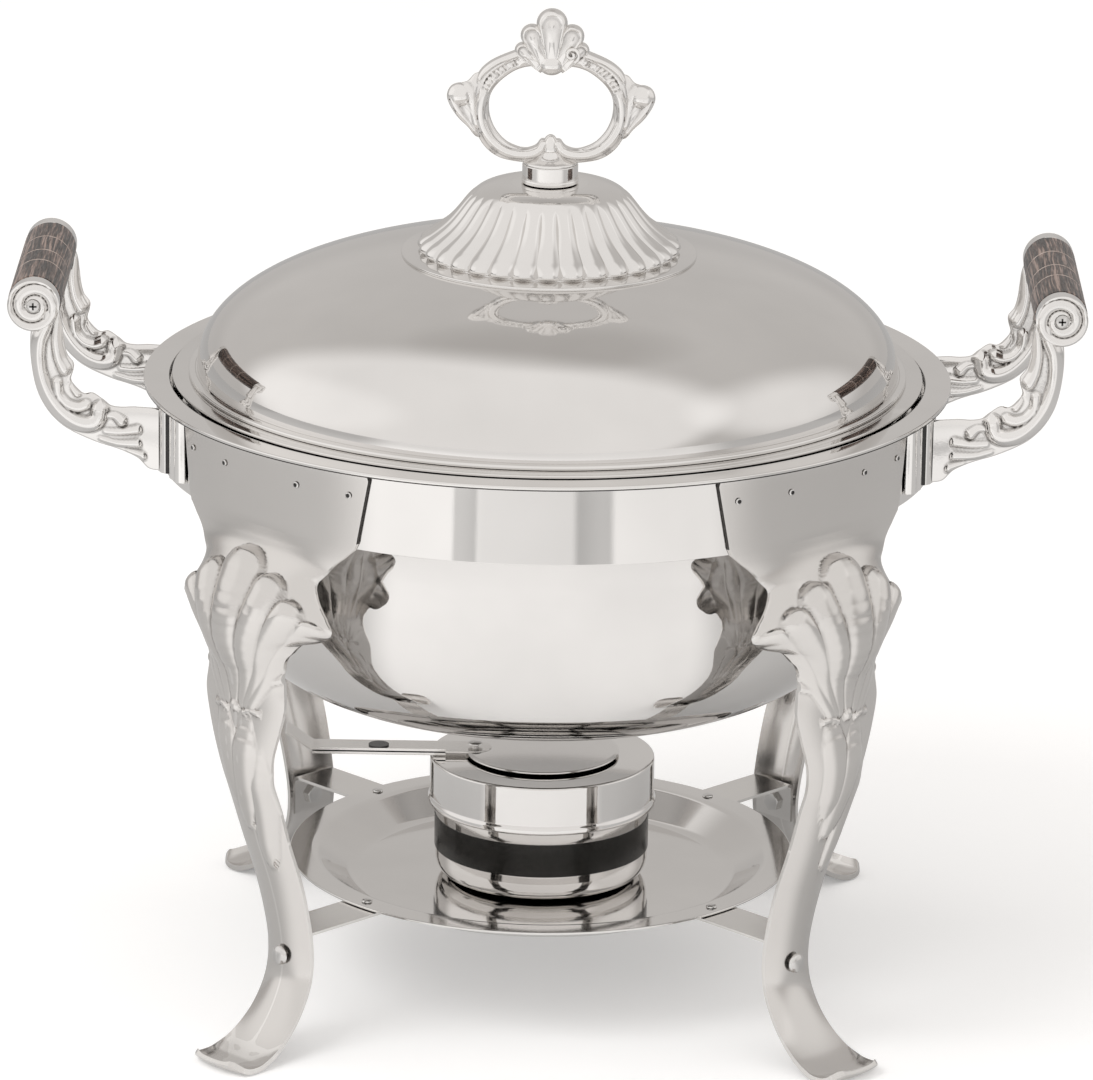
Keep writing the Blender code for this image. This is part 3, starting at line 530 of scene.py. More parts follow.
# Small raised beads and strokes under the shell: line of (sideways, height), rise, half width.
BEADS = (
    (((0, 150.5), (0.2, 150)), 2.2, 2.5),
    (((5, 148.2), (8.5, 149.6), (12, 148.8)), 1.5, 1.3),
    (((-5, 148.2), (-8.5, 149.6), (-12, 148.8)), 1.5, 1.3),
    (((-21, 163.4), (-15.5, 162)), 1.2, 1.6),
    (((21, 163.4), (15.5, 162)), 1.2, 1.6),
)


def leg_relief(side, height):
    """How far the pressed relief stands out of the leg's plain surface."""
    relief = np.zeros_like(side)
    for tip, top, width, rise in SHELL_LOBES:
        for way in (1, -1) if tip else (1,):
            foot = np.array((way * tip * SHELL_FOOT_SPREAD, SHELL_FOOT_Z))
            bend = np.array((way * tip * 0.58, SHELL_FOOT_Z + (top - SHELL_FOOT_Z) * 0.52))
            end = np.array((way * tip, top))
            line = bent(foot, bend, end, 12)
            rises = SHELL_FOOT_RISE + (rise - SHELL_FOOT_RISE) * LOBE_SHARES**1.5
            widths = 2.4 + (width - 2.4) * np.sin(LOBE_SHARES * pi / 2)
            lobe = ridge_height(side, height, line, (LOBE_SHARES, rises), (LOBE_SHARES, widths))
            relief = np.maximum(relief, lobe)
    for start, tip, width, rise in LEAVES:
        line = smooth((start, ((start[0] + tip[0]) / 2 + 1.4, (start[1] + tip[1]) / 2), tip), 5)
        heights = ((0, 0.3, 0.85, 1), (0.1, rise, rise, rise * 0.7))
        widths = ((0, 0.3, 0.85, 1), (width * 0.5, width, width * 0.85, width * 0.5))
        relief = np.maximum(relief, ridge_height(side, height, line, heights, widths))
    for line, rise, width in BEADS:
        relief = np.maximum(relief, even_ridge(side, height, line, rise, width))
    return relief


def make_leg_model():
    """A leg along +X: panel, shell knee, leafed shank and turned-up toe."""
    columns = 128
    panel = []
    for z in np.linspace(250.5, 223.0, 16):
        half = np.interp(z, (223.0, 249.0, 250.5), (48.2, 53.0, 52.4))
        panel.append((PANEL_MIDDLE, z, half, PANEL_MIDDLE - sqrt(PANEL_MIDDLE**2 - half**2), 2.0))
    line = np.vstack((panel, smooth(LEG_LINE + FOOT_LINE, 12)))
    way = np.gradient(line[:, :2], axis=0)
    way /= np.linalg.norm(way, axis=1)[:, None]
    face_r, face_z = -way[:, 1], way[:, 0]
    across = np.linspace(-1, 1, columns)[None, :]
    side = line[:, 2:3] * across
    drop = line[:, 3:4] * np.abs(across) ** line[:, 4:5]
    height = np.repeat(line[:, 1:2], columns, axis=1)
    relief = leg_relief(side, height) * (height > 60)
    toe = np.clip(1 - line[:, 1:2] / 17, 0, 1) ** 1.5
    relief = relief + toe * 1.5 * np.abs(across) ** 5
    rings = []
    for offset in (LEG_SHEET / 2, -LEG_SHEET / 2):
        out = relief * (1.0 if offset > 0 else 0.4) - drop + offset
        x, z = line[:, :1] + face_r[:, None] * out, line[:, 1:2] + face_z[:, None] * out
        rings.append(np.stack((x, side, np.maximum(z, 0.0 if offset < 0 else LEG_SHEET * 0.8)), axis=-1))
    points = np.vstack([ring.reshape(-1, 3) for ring in rings])
    rows, count = len(line), len(line) * columns
    faces = quads(rows, columns)
    faces += [tuple(i + count for i in face) for face in faces]
    edge = [*range(columns)] + [r * columns + columns - 1 for r in range(1, rows)]
    edge += [(rows - 1) * columns + c for c in reversed(range(columns - 1))]
    edge += [r * columns for r in reversed(range(1, rows - 1))]
    faces += [(a, b, b + count, a + count) for a, b in zip(edge, edge[1:] + edge[:1])]
    leg = new_object("leg_model", points, faces, SATIN, 50)
    # The panel's side edges take the dark colour as a painted shadow line beside the panel.
    leg.data.materials.append(PAINTED_SHADE_EDGE)
    for face in leg.data.polygons:
        if abs(face.normal.y) > 0.8 and face.center.z > 0.2225 and abs(face.center.y) > 0.048:
            face.material_index = 1
    return leg


def make_legs():
    for corner, leg in on_legs(make_leg_model(), "cabriole_leg"):
        round_edges(leg, 0.0003).angle_limit = radians(60)
        place(leg, "frame", f"leg_{corner}")


# --- Side handles ---

BRACKET_Y = 47.2
GRIP_X, GRIP_Z, GRIP_RADIUS, GRIP_HALF = 203.5, 292.0, 10.5, 43.0
GRIP_LINES = (-17.0, -1.0, 20.5)
SCROLL_RADIUS, SCROLL_HALF, SCROLL_PITCH = 10.3, 4.0, 4.5
BRACKET_HALF = 1.6
# Stations of the bracket from the band to the scroll: upper (x, z) and lower (x, z) outline.
BRACKET_STATIONS = (
    (154, 249.8, 154, 224.3), (158.5, 250.1, 158.2, 225.2), (164, 250.4, 162.4, 229.4),
    (169, 250.2, 167.6, 232), (173.2, 250.9, 172.6, 233.8), (176.4, 253.4, 177.6, 235.3),
    (180.2, 255.9, 183.6, 237.7), (183.6, 255.6, 188.2, 239.9), (186.4, 257.6, 192.5, 242.6),
    (188.8, 261.2, 197, 247), (187.9, 265.3, 200.4, 252.2), (187.8, 268.2, 202.5, 257.2),
    (190.2, 271.6, 203.9, 263.2), (191.4, 276.4, 204.8, 270.2), (192, 281.6, 205, 276.4),
    (192.8, 287.4, 204.6, 281.6), (195, 292.6, 203.4, 285.6),
)
# Raised scrollwork on the bracket's faces: line of (x, z), then rise and half width at start and end.
BRACKET_RIDGES = (
    (((197.2, 290), (198.6, 284), (201.2, 277.5), (201.9, 270), (200.8, 262.6), (197.8, 255),
      (193.2, 248.8), (187.8, 244.6), (182.4, 243.4), (178.4, 245.4), (177.4, 249.4)), (2.6, 3), (3, 3.6)),
    (((192.6, 290), (194, 284), (194.4, 277), (193.2, 270.4), (191.2, 266)), (1.2, 2.4), (1.4, 2.8)),
    (((194.2, 260.6), (193.6, 255.6), (190.6, 251.8), (186.4, 250.4), (183, 251.4)), (1.6, 2.4), (2.2, 2.4)),
    (((187.4, 258.4), (186.2, 256)), (1.8, 1.8), (2, 1.8)),
    (((176.6, 250.4), (177.4, 250)), (3.2, 3.2), (3.2, 3.2)),
    (((174.6, 247.2), (171.4, 247), (168.8, 244.8)), (0.8, 2.4), (1.2, 2.3)),
    (((175.2, 240.6), (169.6, 240.4), (162.4, 241.4)), (0.8, 2), (1.4, 1.9)),
    (((177, 237.4), (170.4, 235.6), (162.4, 235.6)), (0.8, 1.8), (1.2, 1.8)),
    (((166, 232), (160.6, 230.4)), (1, 1.8), (1.4, 1.9)),
)
# The bracket's foot from above: degrees round the band, radius. The dip is the groove beside the boss.
FOOT_PROFILE = (
    (14.5, 157), (14.6, 159.4), (15.3, 160.9), (16.6, 161.5), (17.9, 161.1), (18.7, 159.6), (18.9, 157.3),
    (20.3, 157.3), (20.4, 159.2), (21, 159.9), (21.9, 159.9), (22.3, 159.1), (22.6, 159.1), (23, 159.8),
    (23.9, 159.7), (24.4, 158.9), (24.6, 157),
)


def between_outlines(stations, sides):
    """Rings round a flat arm: x, z, share of the way across, and side of the face."""
    turn = np.arange(sides) * 2 * pi / sides
    across, through = (1 - np.cos(turn)) / 2, np.sin(turn)
    x = stations[:, 0:1] * (1 - across) + stations[:, 2:3] * across
    z = stations[:, 1:2] * (1 - across) + stations[:, 3:4] * across
    return x, z, across, through


def make_bracket_arm():
    """The cast arm, with scrollwork raised on both faces."""
    x, z, _, through = between_outlines(smooth(BRACKET_STATIONS, 10), 96)
    relief = np.zeros_like(x)
    for line, rises, widths in BRACKET_RIDGES:
        ridge = ridge_height(x, z, smooth(line, 4), ((0, 1), rises), ((0, 1), widths), 0.8)
        relief = np.maximum(relief, ridge)
    edge = np.sign(through) * np.abs(through) ** 0.45
    y = BRACKET_Y + edge * (BRACKET_HALF + relief * np.abs(through) ** 0.3)
    return tube_skin("arm", np.stack((x, y, z), axis=-1), CAST, sharp=60)


def make_scroll():
    """The disc at the grip's end, its outer face cut by a spiral."""
    turns, rings = 128, 40
    angle = np.arange(turns) * 2 * pi / turns
    radius = np.linspace(0.4, SCROLL_RADIUS - 0.7, rings)[:, None]
    spiral = (angle[None, :] - pi / 2) % (2 * pi) / (2 * pi)
    phase = (radius / SCROLL_PITCH - spiral) % 1.0
    wave = 1.5 * np.sin(pi * phase) ** 0.7
    face = SCROLL_HALF - 1.0 + np.where(radius < 3.2, 0.2, wave)
    layers = [np.stack((radius * np.cos(angle), radius * np.sin(angle), face), axis=-1)]
    for ring, depth in ((SCROLL_RADIUS, 0.5), (SCROLL_RADIUS, 1.0)):
        z = np.full_like(angle, SCROLL_HALF - depth)
        layers.append(np.stack((ring * np.cos(angle), ring * np.sin(angle), z), axis=-1)[None])
    front = np.vstack(layers)
    back = front[::-1] * (1, 1, -1)
    back[..., 2] = np.maximum(back[..., 2], -SCROLL_HALF)
    scroll = tube_skin("scroll", np.vstack((front, back)), CAST, sharp=60)
    upright = Matrix(((1, 0, 0, 0), (0, 0, 1, 0), (0, 1, 0, 0), (0, 0, 0, 1)))
    scroll.data.transform(Matrix.Translation(Vector((GRIP_X, BRACKET_Y, GRIP_Z)) * MM) @ upright)
    scroll.data.flip_normals()
    return scroll


def make_bracket_foot():
    """The upright boss and ribs that lie on the band, with a groove between them whose walls are painted
    black as shade.
    """
    outline = [polar(angle, radius) for angle, radius in FOOT_PROFILE]
    outline += [polar(angle, 156.6) for angle in np.linspace(24.6, 14.5, 6)]
    centre = sum(outline, Vector()) / len(outline)
    rings = []
    for z, inset in ((224.0, 0.06), (224.5, 0), (237.0, 0), (249.5, 0), (250.0, 0.06)):
        ring = []
        for point in outline:
            moved = point.lerp(centre, inset) if point.xy.length > 157.1 else point.copy()
            moved.z = z
            ring.append(moved)
        rings.append(ring)
    foot = tube_skin("foot", [[tuple(p) for p in ring] for ring in rings], CAST, sharp=45)
    foot.data.materials.append(SHADE_AND_REFLECTION_BLACK)
    # Painted shade: the groove's walls take the near-black colour.
    for face in foot.data.polygons:
        spread = degrees(atan2(face.center.y, face.center.x))
        if 18.6 < spread < 20.5 and abs(face.normal.z) < 0.5:
            face.material_index = 1
    return foot


def make_handles():
    model = joined("bracket_model", [make_bracket_arm(), make_scroll(), make_bracket_foot()])
    for side, x_way in SIDES.items():
        for end, y_way in ENDS.items():
            bracket = copy_of(model, f"scroll_bracket_{side}_{end}", Matrix.Diagonal((x_way, y_way, 1, 1)))
            place(bracket, "frame", f"handle_bracket_{side}_{end}")
        make_grip(side, x_way)
    bpy.data.objects.remove(model)


def make_grip(side, x_way):
    """A turned wooden grip with fine pale lines in its grooves."""
    corners = [(3.0, GRIP_HALF, 0), (3.0, -GRIP_HALF, 0), (GRIP_RADIUS, -GRIP_HALF, 0.5)]
    for ring in GRIP_LINES:
        for along, depth in ((-0.55, 0), (0.0, 0.5), (0.55, 0)):
            corners.append((GRIP_RADIUS - depth, ring + along, 0.15))
    corners.append((GRIP_RADIUS, GRIP_HALF, 0.5))
    grip = turned("grip", rounded(corners, 2), WOOD, 72, 60)
    grip.data.materials.append(RING_LINE)
    for face in grip.data.polygons:
        centre = face.center / MM
        on_line = any(abs(centre.z - ring) < 0.6 for ring in GRIP_LINES)
        if on_line and centre.xy.length > GRIP_RADIUS - 0.62:
            face.material_index = 1
    stand(grip, (x_way * GRIP_X, 0, GRIP_Z), (0, 1, 0))
    grip.name = f"wooden_grip_{side}"
    place(grip, "frame", f"handle_grip_{side}")


# --- Lid handle ---

# Right half of the loop from its foot to under the shell: inner (x, z), outer (x, z), half thickness.
LOOP_STATIONS = (
    (0, 350.6, 0, 342.2, 3.4), (3.6, 351, 4.4, 341.8, 3.3), (6, 348.4, 8, 341.4, 3.3),
    (10.8, 347.2, 13.4, 341.6, 3.3), (17, 349.4, 20.4, 343.2, 3.4), (21.2, 353.4, 26, 347.2, 3.5),
    (23.6, 357.8, 29.8, 353.6, 3.6), (24.7, 362.6, 31.2, 361, 3.7), (24.5, 367.6, 31.2, 368.8, 3.7),
    (22.6, 371.8, 29.4, 377, 3.7), (18.7, 375.9, 25, 382, 3.6), (13.2, 379.4, 17.6, 385.8, 3.5),
    (6.6, 380.6, 9, 388.6, 3.5), (0, 378.2, 0, 389, 3.6),
)
# Raised lines on the right half of the loop: line of (x, z), rise, half width.
LOOP_RIDGES = (
    (((3.4, 349.4), (6.6, 345.6), (15.6, 345.2), (22.8, 349.4), (27.2, 356.4), (28.4, 363), (26.6, 370.4),
      (23.4, 375)), 1.3, 1.9),
    (((29.6, 376), (26.8, 379.6), (21.8, 383.2), (14.4, 386)), 1.3, 1.5),
    (((9.8, 349), (14.6, 349.6), (19, 352.6), (22.6, 358)), 0.8, 1.2),
)
SHELL_ROOT_Z = 379.0
# Petals: centre x and z, radius, how far it stands out, sideways start.
SHELL_PETALS = (
    (0, 398, 6.2, 1.6, 0),
    (-7.9, 393.2, 4.6, 1.1, -1.6),
    (8.1, 393, 4.8, 1.2, 1.6),
    (-11.4, 387, 3.4, 0.7, -3.2),
    (11.6, 387.2, 3.4, 0.8, 3.2),
)


def make_loop():
    """The loop, with raised lines and striated bands."""
    half = smooth(LOOP_STATIONS, 10)
    stations = np.vstack((half, (half * (-1, 1, -1, 1, 1))[-2:0:-1]))
    x, z, across, through = between_outlines(stations, 56)
    relief = np.zeros_like(x)
    for line, rise, width in LOOP_RIDGES:
        for path in (line, [(-px, pz) for px, pz in line]):
            relief = np.maximum(relief, even_ridge(x, z, smooth(path, 4), rise, width))
    inlay = np.clip((z - 369.5) / 2, 0, 1) * np.clip((np.abs(x) - 12) / 2, 0, 1)
    inlay = inlay * (across > 0.2) * (across < 0.58)
    bearing = np.arctan2(z - 364, x)
    relief = relief - inlay * (0.55 + 0.35 * np.cos(bearing * 90))
    y = np.sign(through) * np.abs(through) ** 0.7 * (stations[:, 4:5] - 0.6 + relief)
    return tube_skin("loop", np.stack((x, y, z), axis=-1), CAST, closed=True, sharp=60)


def cushion(outline, depth, relief):
    """An outline of (x, z) domed on both faces, with relief on them."""
    outline = np.asarray(outline, float)
    centre = outline.mean(axis=0)
    layers = []
    for turn in np.linspace(0.02, pi - 0.02, 28):
        share = sin(turn) ** 0.55
        ring = centre + (outline - centre) * share
        lift = cos(turn) * depth
        out = lift + relief(*ring.T) * np.sign(lift)
        layers.append(np.column_stack((ring[:, 0], out, ring[:, 1])))
    return tube_skin("lump", layers, CAST, sharp=60)


def petal_outline(root, end, radius):
    """A petal that widens from the shell's root to a round end."""
    way = (end - root) / np.linalg.norm(end - root)
    side = np.array((-way[1], way[0]))
    turn = np.linspace(-pi / 2, pi / 2, 20)[:, None]
    cap = end + way * radius * np.cos(turn) + side * radius * np.sin(turn)
    middle, bulge = end * 0.45 + root * 0.55, side * radius * 0.62
    flank = smooth((cap[-1], middle + bulge, root + side * 1.6), 5)[1:]
    other = smooth((root - side * 1.6, middle - bulge, cap[0]), 5)[:-1]
    return np.vstack((cap, flank, other))


def petal_relief(root, end, radius):
    """A raised rim round the petal and a vein up its middle."""
    way = end - root

    def relief(x, z):
        t = np.clip(((x - root[0]) * way[0] + (z - root[1]) * way[1]) / (way @ way), 0, 1)
        far = np.hypot(x - root[0] - t * way[0], z - root[1] - t * way[1])
        width = 1.6 + (radius - 1.6) * t
        rim = np.exp(-(((far / width) - 0.78) / 0.16) ** 2) * 1.3
        vein = np.exp(-((far / 0.7) ** 2)) * 0.8
        return (rim + vein) * np.clip(t * 3, 0, 1)

    return relief


def make_shell():
    """The fan of petals on the loop, with a ball at its root and a curl at each side."""
    petals = []
    for x, z, radius, out, start in SHELL_PETALS:
        petal = np.array((start, SHELL_ROOT_Z)), np.array((x, z)), radius
        petals.append(cushion(petal_outline(*petal), 2.2 + out, petal_relief(*petal)))
    petals.append(ball("root", (5.4, 4.6, 4.6), (0, 0, 381.6)))
    turn, reach = np.linspace(-1.2, 7.6, 22), np.linspace(3.2, 0.45, 22)
    for way in (-1, 1):
        x, z = -way * (8.0 + reach * np.cos(turn)), 386.2 + reach * np.sin(turn)
        petals.append(wire(np.column_stack((x, np.full_like(turn, way * 4.4), z)), 0.75))
    return petals


def wire(path, radius, sides=8):
    """A round wire along a path of (x, y, z) points."""
    path = np.asarray(path, float)
    way = np.gradient(path, axis=0)
    way /= np.linalg.norm(way, axis=1)[:, None]
    side = np.cross(way, (0, 1, 0.01))
    side /= np.linalg.norm(side, axis=1)[:, None]
    up = np.cross(way, side)
    turn = np.arange(sides) * 2 * pi / sides
    around = np.cos(turn)[None, :, None] * side[:, None] + np.sin(turn)[None, :, None] * up[:, None]
    rings = path[:, None] + radius * around
    return tube_skin("wire", rings, CAST, sharp=60)


EAR_OUTLINE = (
    (26.4, 351), (30, 351.6), (33, 355.4), (37.4, 359.6), (40.6, 364.6), (41.6, 368.6), (39.8, 372.2),
    (36, 373.4), (33.2, 374.4), (30.6, 377.2), (28.2, 377), (28.4, 370), (28.8, 362), (27.6, 355),
)


EAR_RIB = (
    (31, 354), (35.4, 359.4), (38.6, 364.4), (39.8, 368.4), (38, 371), (35.2, 370.2), (35.4, 367.2),
)
EAR_SPINE = ((29.4, 356), (30.8, 362), (31.6, 368), (33.8, 372))


def ear_relief(x, z):
    """A scrolled rib round the ear's edge and another up its middle."""
    rib = ridge_height(np.abs(x), z, smooth(EAR_RIB, 4), ((0, 1), (0.8, 1.7)), ((0, 1), (1.2, 2.4)))
    spine = ridge_height(np.abs(x), z, smooth(EAR_SPINE, 4), ((0, 1), (0.8, 0.9)), ((0, 1), (1.2, 1.4)))
    return np.maximum(rib, spine)


def make_lid_handle():
    things = [make_loop(), *make_shell()]
    for way in (-1, 1):
        outline = [(way * x, z) for x, z in smooth(EAR_OUTLINE + EAR_OUTLINE[:1], 4)[:-1]]
        things.append(cushion(outline, 2.4, ear_relief))
        things.append(ball("knob", (5.1, 4.4, 5.0), (way * 36.4, 0, 368.4)))
    things.append(ball("bud", (3.5, 3.7, 6.2), (0, 0, 346.6)))
    seat = size_of("lid_collar")[2] + SEAT_GAP
    foot = [(0, 347.0, 0), (3.8, 346.4, 0.8), (6.4, 343.4, 1.6), (10.9, seat + 0.9, 0.6), (10.9, seat, 0.2)]
    things.append(turned("foot", rounded([*foot, (0, seat, 0)]), CAST, 48))
    stud_low = size_of("lid_handle")[1]
    stud = [(0, 345.0, 0), (2.6, 345.0, 0.2), (2.6, stud_low, 0.3), (0, stud_low, 0)]
    things.append(turned("stud", rounded(stud), FASTENER, 32))
    handle = joined("shell_handle", things)
    place(handle, "lid", "lid_handle")


def ball(name, radii, at):
    """A lump with a half-length along each axis."""
    turn = np.linspace(pi / 2, -pi / 2, 18)
    lump = turned(name, np.column_stack((np.cos(turn).clip(0), np.sin(turn))), CAST, 26, 80)
    lump.data.transform(Matrix.Translation(Vector(at) * MM) @ Matrix.Diagonal((*radii, 1)))
    return lump


# --- Tray, straps and fuel holder ---


def make_tray():
    radius, low, top = size_of("fuel_tray")
    sheet, well = 1.0, 78.0
    corners = [(0, low + sheet, 0), (well, low + sheet, 2.4), (92.5, top, 1.8), (radius, top, 0.4)]
    corners += [(radius, top - sheet, 0.4), (93.1, top - sheet, 1.8), (well + 0.6, low, 2.4), (0, low, 0)]
    tray = turned("drip_tray", rounded(corners, 5), POLISHED, 180)
    place(tray, "frame", "fuel_tray")


def make_straps():
    """Flat strips under the tray's rim, bent down against the legs."""
    start, leg, top, low, sheet = 93.5, 139.5, 49.9, 33.0, 1.2
    corners = [(start, top, 0.2), (leg, top, 2.6), (leg, low, 0.4)]
    corners += [(leg - sheet, low, 0.4), (leg - sheet, top - sheet, 1.6), (start, top - sheet, 0.2)]
    side = rounded(corners, 6)
    rings = []
    for y, inset in ((-10.0, 0.3), (-9.7, 0), (0.0, 0), (9.7, 0), (10.0, 0.3)):
        shape = side.copy()
        shape[:, 0] = np.where(shape[:, 0] < start + 1, start + inset, shape[:, 0])
        rings.append(np.column_stack((shape[:, 0], np.full(len(shape), y), shape[:, 1])))
    for corner, strap in on_legs(tube_skin("strap_model", rings, SATIN, sharp=30), "bent_strap"):
        place(strap, "frame", f"tray_strap_{corner}")


def make_cup():
    radius, low, top = size_of("fuel_cup")
    sheet = 0.8
    inner, floor = radius - sheet, low + sheet
    corners = [(inner, top, 0.2), (radius, top, 0.3), (radius, low, 9.0)]
    corners += [(0, low, 0), (0, floor, 0), (inner, floor, 8.4)]
    cup = turned("fuel_pot", rounded(corners, 7), MIRROR, 128)
    place(cup, "fuel_holder", "fuel_cup")
    # A thin black band round the cup is a painted reflection of something dark nearby.
    inside, outside, reflection_low, reflection_top = radius + 0.02, radius + 0.22, 53.6, 67.4
    band = [(inside, reflection_top, 0), (outside, reflection_top, 0.1), (outside, reflection_low, 0.1), (inside, reflection_low, 0)]
    painted_reflection_band = turned("fuel_pot_painted_reflection_band", rounded(band), SHADE_AND_REFLECTION_BLACK, 128)
    place(painted_reflection_band, "fuel_holder")


def make_cover():
    radius, low, top = size_of("fuel_holder_cover")
    wall, inner, opening, ceiling = radius - 0.7, radius - 1.7, 23.0, top - 0.8
    corners = [(opening, top, 0.3), (wall, top, 1.2), (wall, low + 3.4, 0.5), (radius, low + 2.2, 0.6)]
    corners += [(radius, low, 0.6), (inner, low, 0.3), (inner, ceiling, 0.5), (opening, ceiling, 0.3)]
    cover = turned("fuel_pot_cover", rounded(corners), MIRROR, 128)
    place(cover, "fuel_holder", "fuel_holder_cover")


SNUFFER_PIVOT, SNUFFER_HOLE, SNUFFER_BEND = -27.5, -67.0, -94.0
SNUFFER_HALF, SNUFFER_RISE = 6.8, 7.5


def make_snuffer():
    """A thin disc with a rolled edge, on an arm with a lip turned down along its front."""
    low_corner, high_corner = (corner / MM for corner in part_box("snuffer_disc"))
    radius, low, top = high_corner.x, low_corner.z, high_corner.z
    disc = [(0, top, 0), (radius - 1.6, top, 0.4), (radius, top - 0.15, 0.4), (radius, low, 0.3), (0, low, 0)]
    place(turned("snuffer_plate", rounded(disc), POLISHED, 96), "snuffer", "snuffer_disc")
    base = top + 0.3
    place(make_snuffer_strip(base), "snuffer", "snuffer_arm")
    corners = [(0, base + 1.0, 0.3), (0, base - 1.9, 0.2), (0.8, base - 1.9, 0.2), (0.8, base + 0.4, 0.2)]
    lip_side, lip_xs = rounded(corners), np.linspace(SNUFFER_BEND, SNUFFER_PIVOT - 12, 12)
    lip = tube_skin("lip", [[(x, y - SNUFFER_HALF, z) for y, z in lip_side] for x in lip_xs], SATIN)
    # A black disc filling the strip's oval hole is painted shade seen through it.
    hole_shade_disc = turned("hole_shade_disc", [(0, 0.5), (4.2, 0.5), (4.2, 0.05), (0, 0.05)], SHADE_AND_REFLECTION_BLACK, 24)
    lip = joined("snuffer_strip_lip", [lip, stand(hole_shade_disc, (SNUFFER_HOLE, 0, base), (0, 0, 1))])
    place(lip, "snuffer")


def make_snuffer_strip(base):
    """The arm: a strip with a rounded inner end, an oval hole and an end bent up."""
    end_x, half = (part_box("snuffer_arm")[0] / MM).x, SNUFFER_HALF
    turn = np.linspace(-pi / 2, pi / 2, 13)
    outline = [(SNUFFER_PIVOT + half * cos(t), half * sin(t)) for t in turn]
    flat = np.linspace(SNUFFER_PIVOT - 6, SNUFFER_BEND + 3, 24)
    xs = np.concatenate((flat, np.linspace(SNUFFER_BEND + 2, end_x, 8)))
    outline += [(x, half) for x in xs] + [(end_x, 0)] + [(x, -half) for x in xs[::-1]]
    slope = SNUFFER_RISE / (SNUFFER_BEND - end_x)
    turn = np.arange(20) * 2 * pi / 20
    oval = [(SNUFFER_HOLE + 3.5 * cos(t), 3.9 * sin(t)) for t in turn]
    strip = bmesh.new()
    edges = []
    for path in (outline, oval):
        loop = []
        for x, y in path:
            loop.append(strip.verts.new((x * MM, y * MM, (base + max(0.0, SNUFFER_BEND - x) * slope) * MM)))
        edges += [strip.edges.new(pair) for pair in zip(loop, loop[1:] + loop[:1])]
    bmesh.ops.triangle_fill(strip, use_beauty=True, edges=edges)
    mesh = bpy.data.meshes.new("snuffer_strip")
    strip.to_mesh(mesh)
    strip.free()
    mesh.materials.append(SATIN)
    arm = linked("snuffer_strip", mesh)
    solid = arm.modifiers.new("sheet", "SOLIDIFY")
    solid.thickness, solid.offset = MM, 1.0
    round_edges(arm, 0.0002)
    return arm


# --- Rivets and screws ---


def round_head(name, head, rise, shank, reach, recess=0.0):
    """A domed rivet or screw, its head on z = 0, with a recess if asked."""
    turn = np.linspace(0, pi / 2, 8)
    top = [(max(head * sin(t), 0), rise * cos(t) ** 0.8) for t in turn]
    if recess:
        top = [(0, rise - recess), (head * 0.42, rise - recess), (head * 0.5, rise * 0.96)] + top[4:]
    outline = np.array([*top, (shank, 0), (shank, -reach), (0, -reach)])
    return turned(name, outline, FASTENER, 28, 45)


def cross_recess_shade(head, rise):
    """A dark cross in a screw's head, painted shade for its recess."""
    bars = []
    long_half, short_half = head * 0.52, head * 0.13
    for x, y in ((short_half, long_half), (long_half, short_half)):
        corners = rounded([(-x, -y, 0.1), (x, -y, 0.1), (x, y, 0.1), (-x, y, 0.1)], 2)
        rings = [[(*corner, z) for corner in corners] for z in (rise * 0.4, rise * 1.04)]
        bars.append(tube_skin("bar", rings, SHADE_AND_REFLECTION_BLACK))
    return bars


PANEL_RIVET_ANGLES = (-16.5, -7.5, 7.5, 16.5)


def make_leg_fasteners(name, leg_angle):
    """One leg's panel rivets, tray rivet and shank screw."""
    for number, angle in enumerate(PANEL_RIVET_ANGLES, start=1):
        rivet = round_head("rivet", 1.35, 0.45, 0.8, 3.4, 0.4)
        # A black disc in the rivet's recess is painted shade in its hollow centre.
        rivet_hole_shade = turned("rivet_hole_shade", [(0, 0.47), (0.85, 0.42), (0.85, 0.02), (0, 0.02)], SHADE_AND_REFLECTION_BLACK, 20)
        rivet = joined(f"small_rivet_{name}_{number}", [rivet, rivet_hole_shade])
        stand(rivet, polar(leg_angle + angle, 158.1, 242.0), polar(leg_angle + angle, 1))
        place(rivet, "frame", f"panel_rivet_{name}_{number}")
    rivet = round_head(f"tray_rim_rivet_{name}", 2.2, 0.8, 1.1, 3.0)
    stand(rivet, polar(leg_angle, 98.0, 51.5), (0, 0, 1))
    place(rivet, "frame", f"tray_rivet_{name}")
    nut = rounded([(0, -6.8, 0), (4.2, -6.8, 0.3), (4.2, -9.0, 0.4), (0, -9.4, 0)])
    screw = [round_head("head", 4.0, 2.0, 1.5, 7.4), turned("nut", nut, FASTENER, 6)]
    screw = joined(f"leg_button_screw_{name}", screw)
    stand(screw, polar(leg_angle, 145.4, 40.0), polar(leg_angle, 1))
    place(screw, "frame", f"leg_screw_{name}")


def make_fasteners():
    for name, leg_angle in LEG_ANGLES.items():
        make_leg_fasteners(name, leg_angle)
    for side, x_way in SIDES.items():
        for end, y_way in ENDS.items():
            parts = [round_head("head", 2.8, 1.1, 1.3, 12.0), *cross_recess_shade(2.8, 1.1)]
            screw = joined(f"grip_screw_{side}_{end}", parts)
            stand(screw, (x_way * GRIP_X, y_way * (BRACKET_Y + SCROLL_HALF - 0.7), GRIP_Z), (0, y_way, 0))
            place(screw, "frame", f"handle_screw_{side}_{end}")
    pivot = round_head("snuffer_pivot", 3.0, 1.0, 1.4, 3.6)
    stand(pivot, (SNUFFER_PIVOT, 0, size_of("snuffer_rivet")[2] - 1.0), (0, 0, 1))
    place(pivot, "fuel_holder", "snuffer_rivet")


# --- Room, light and camera ---

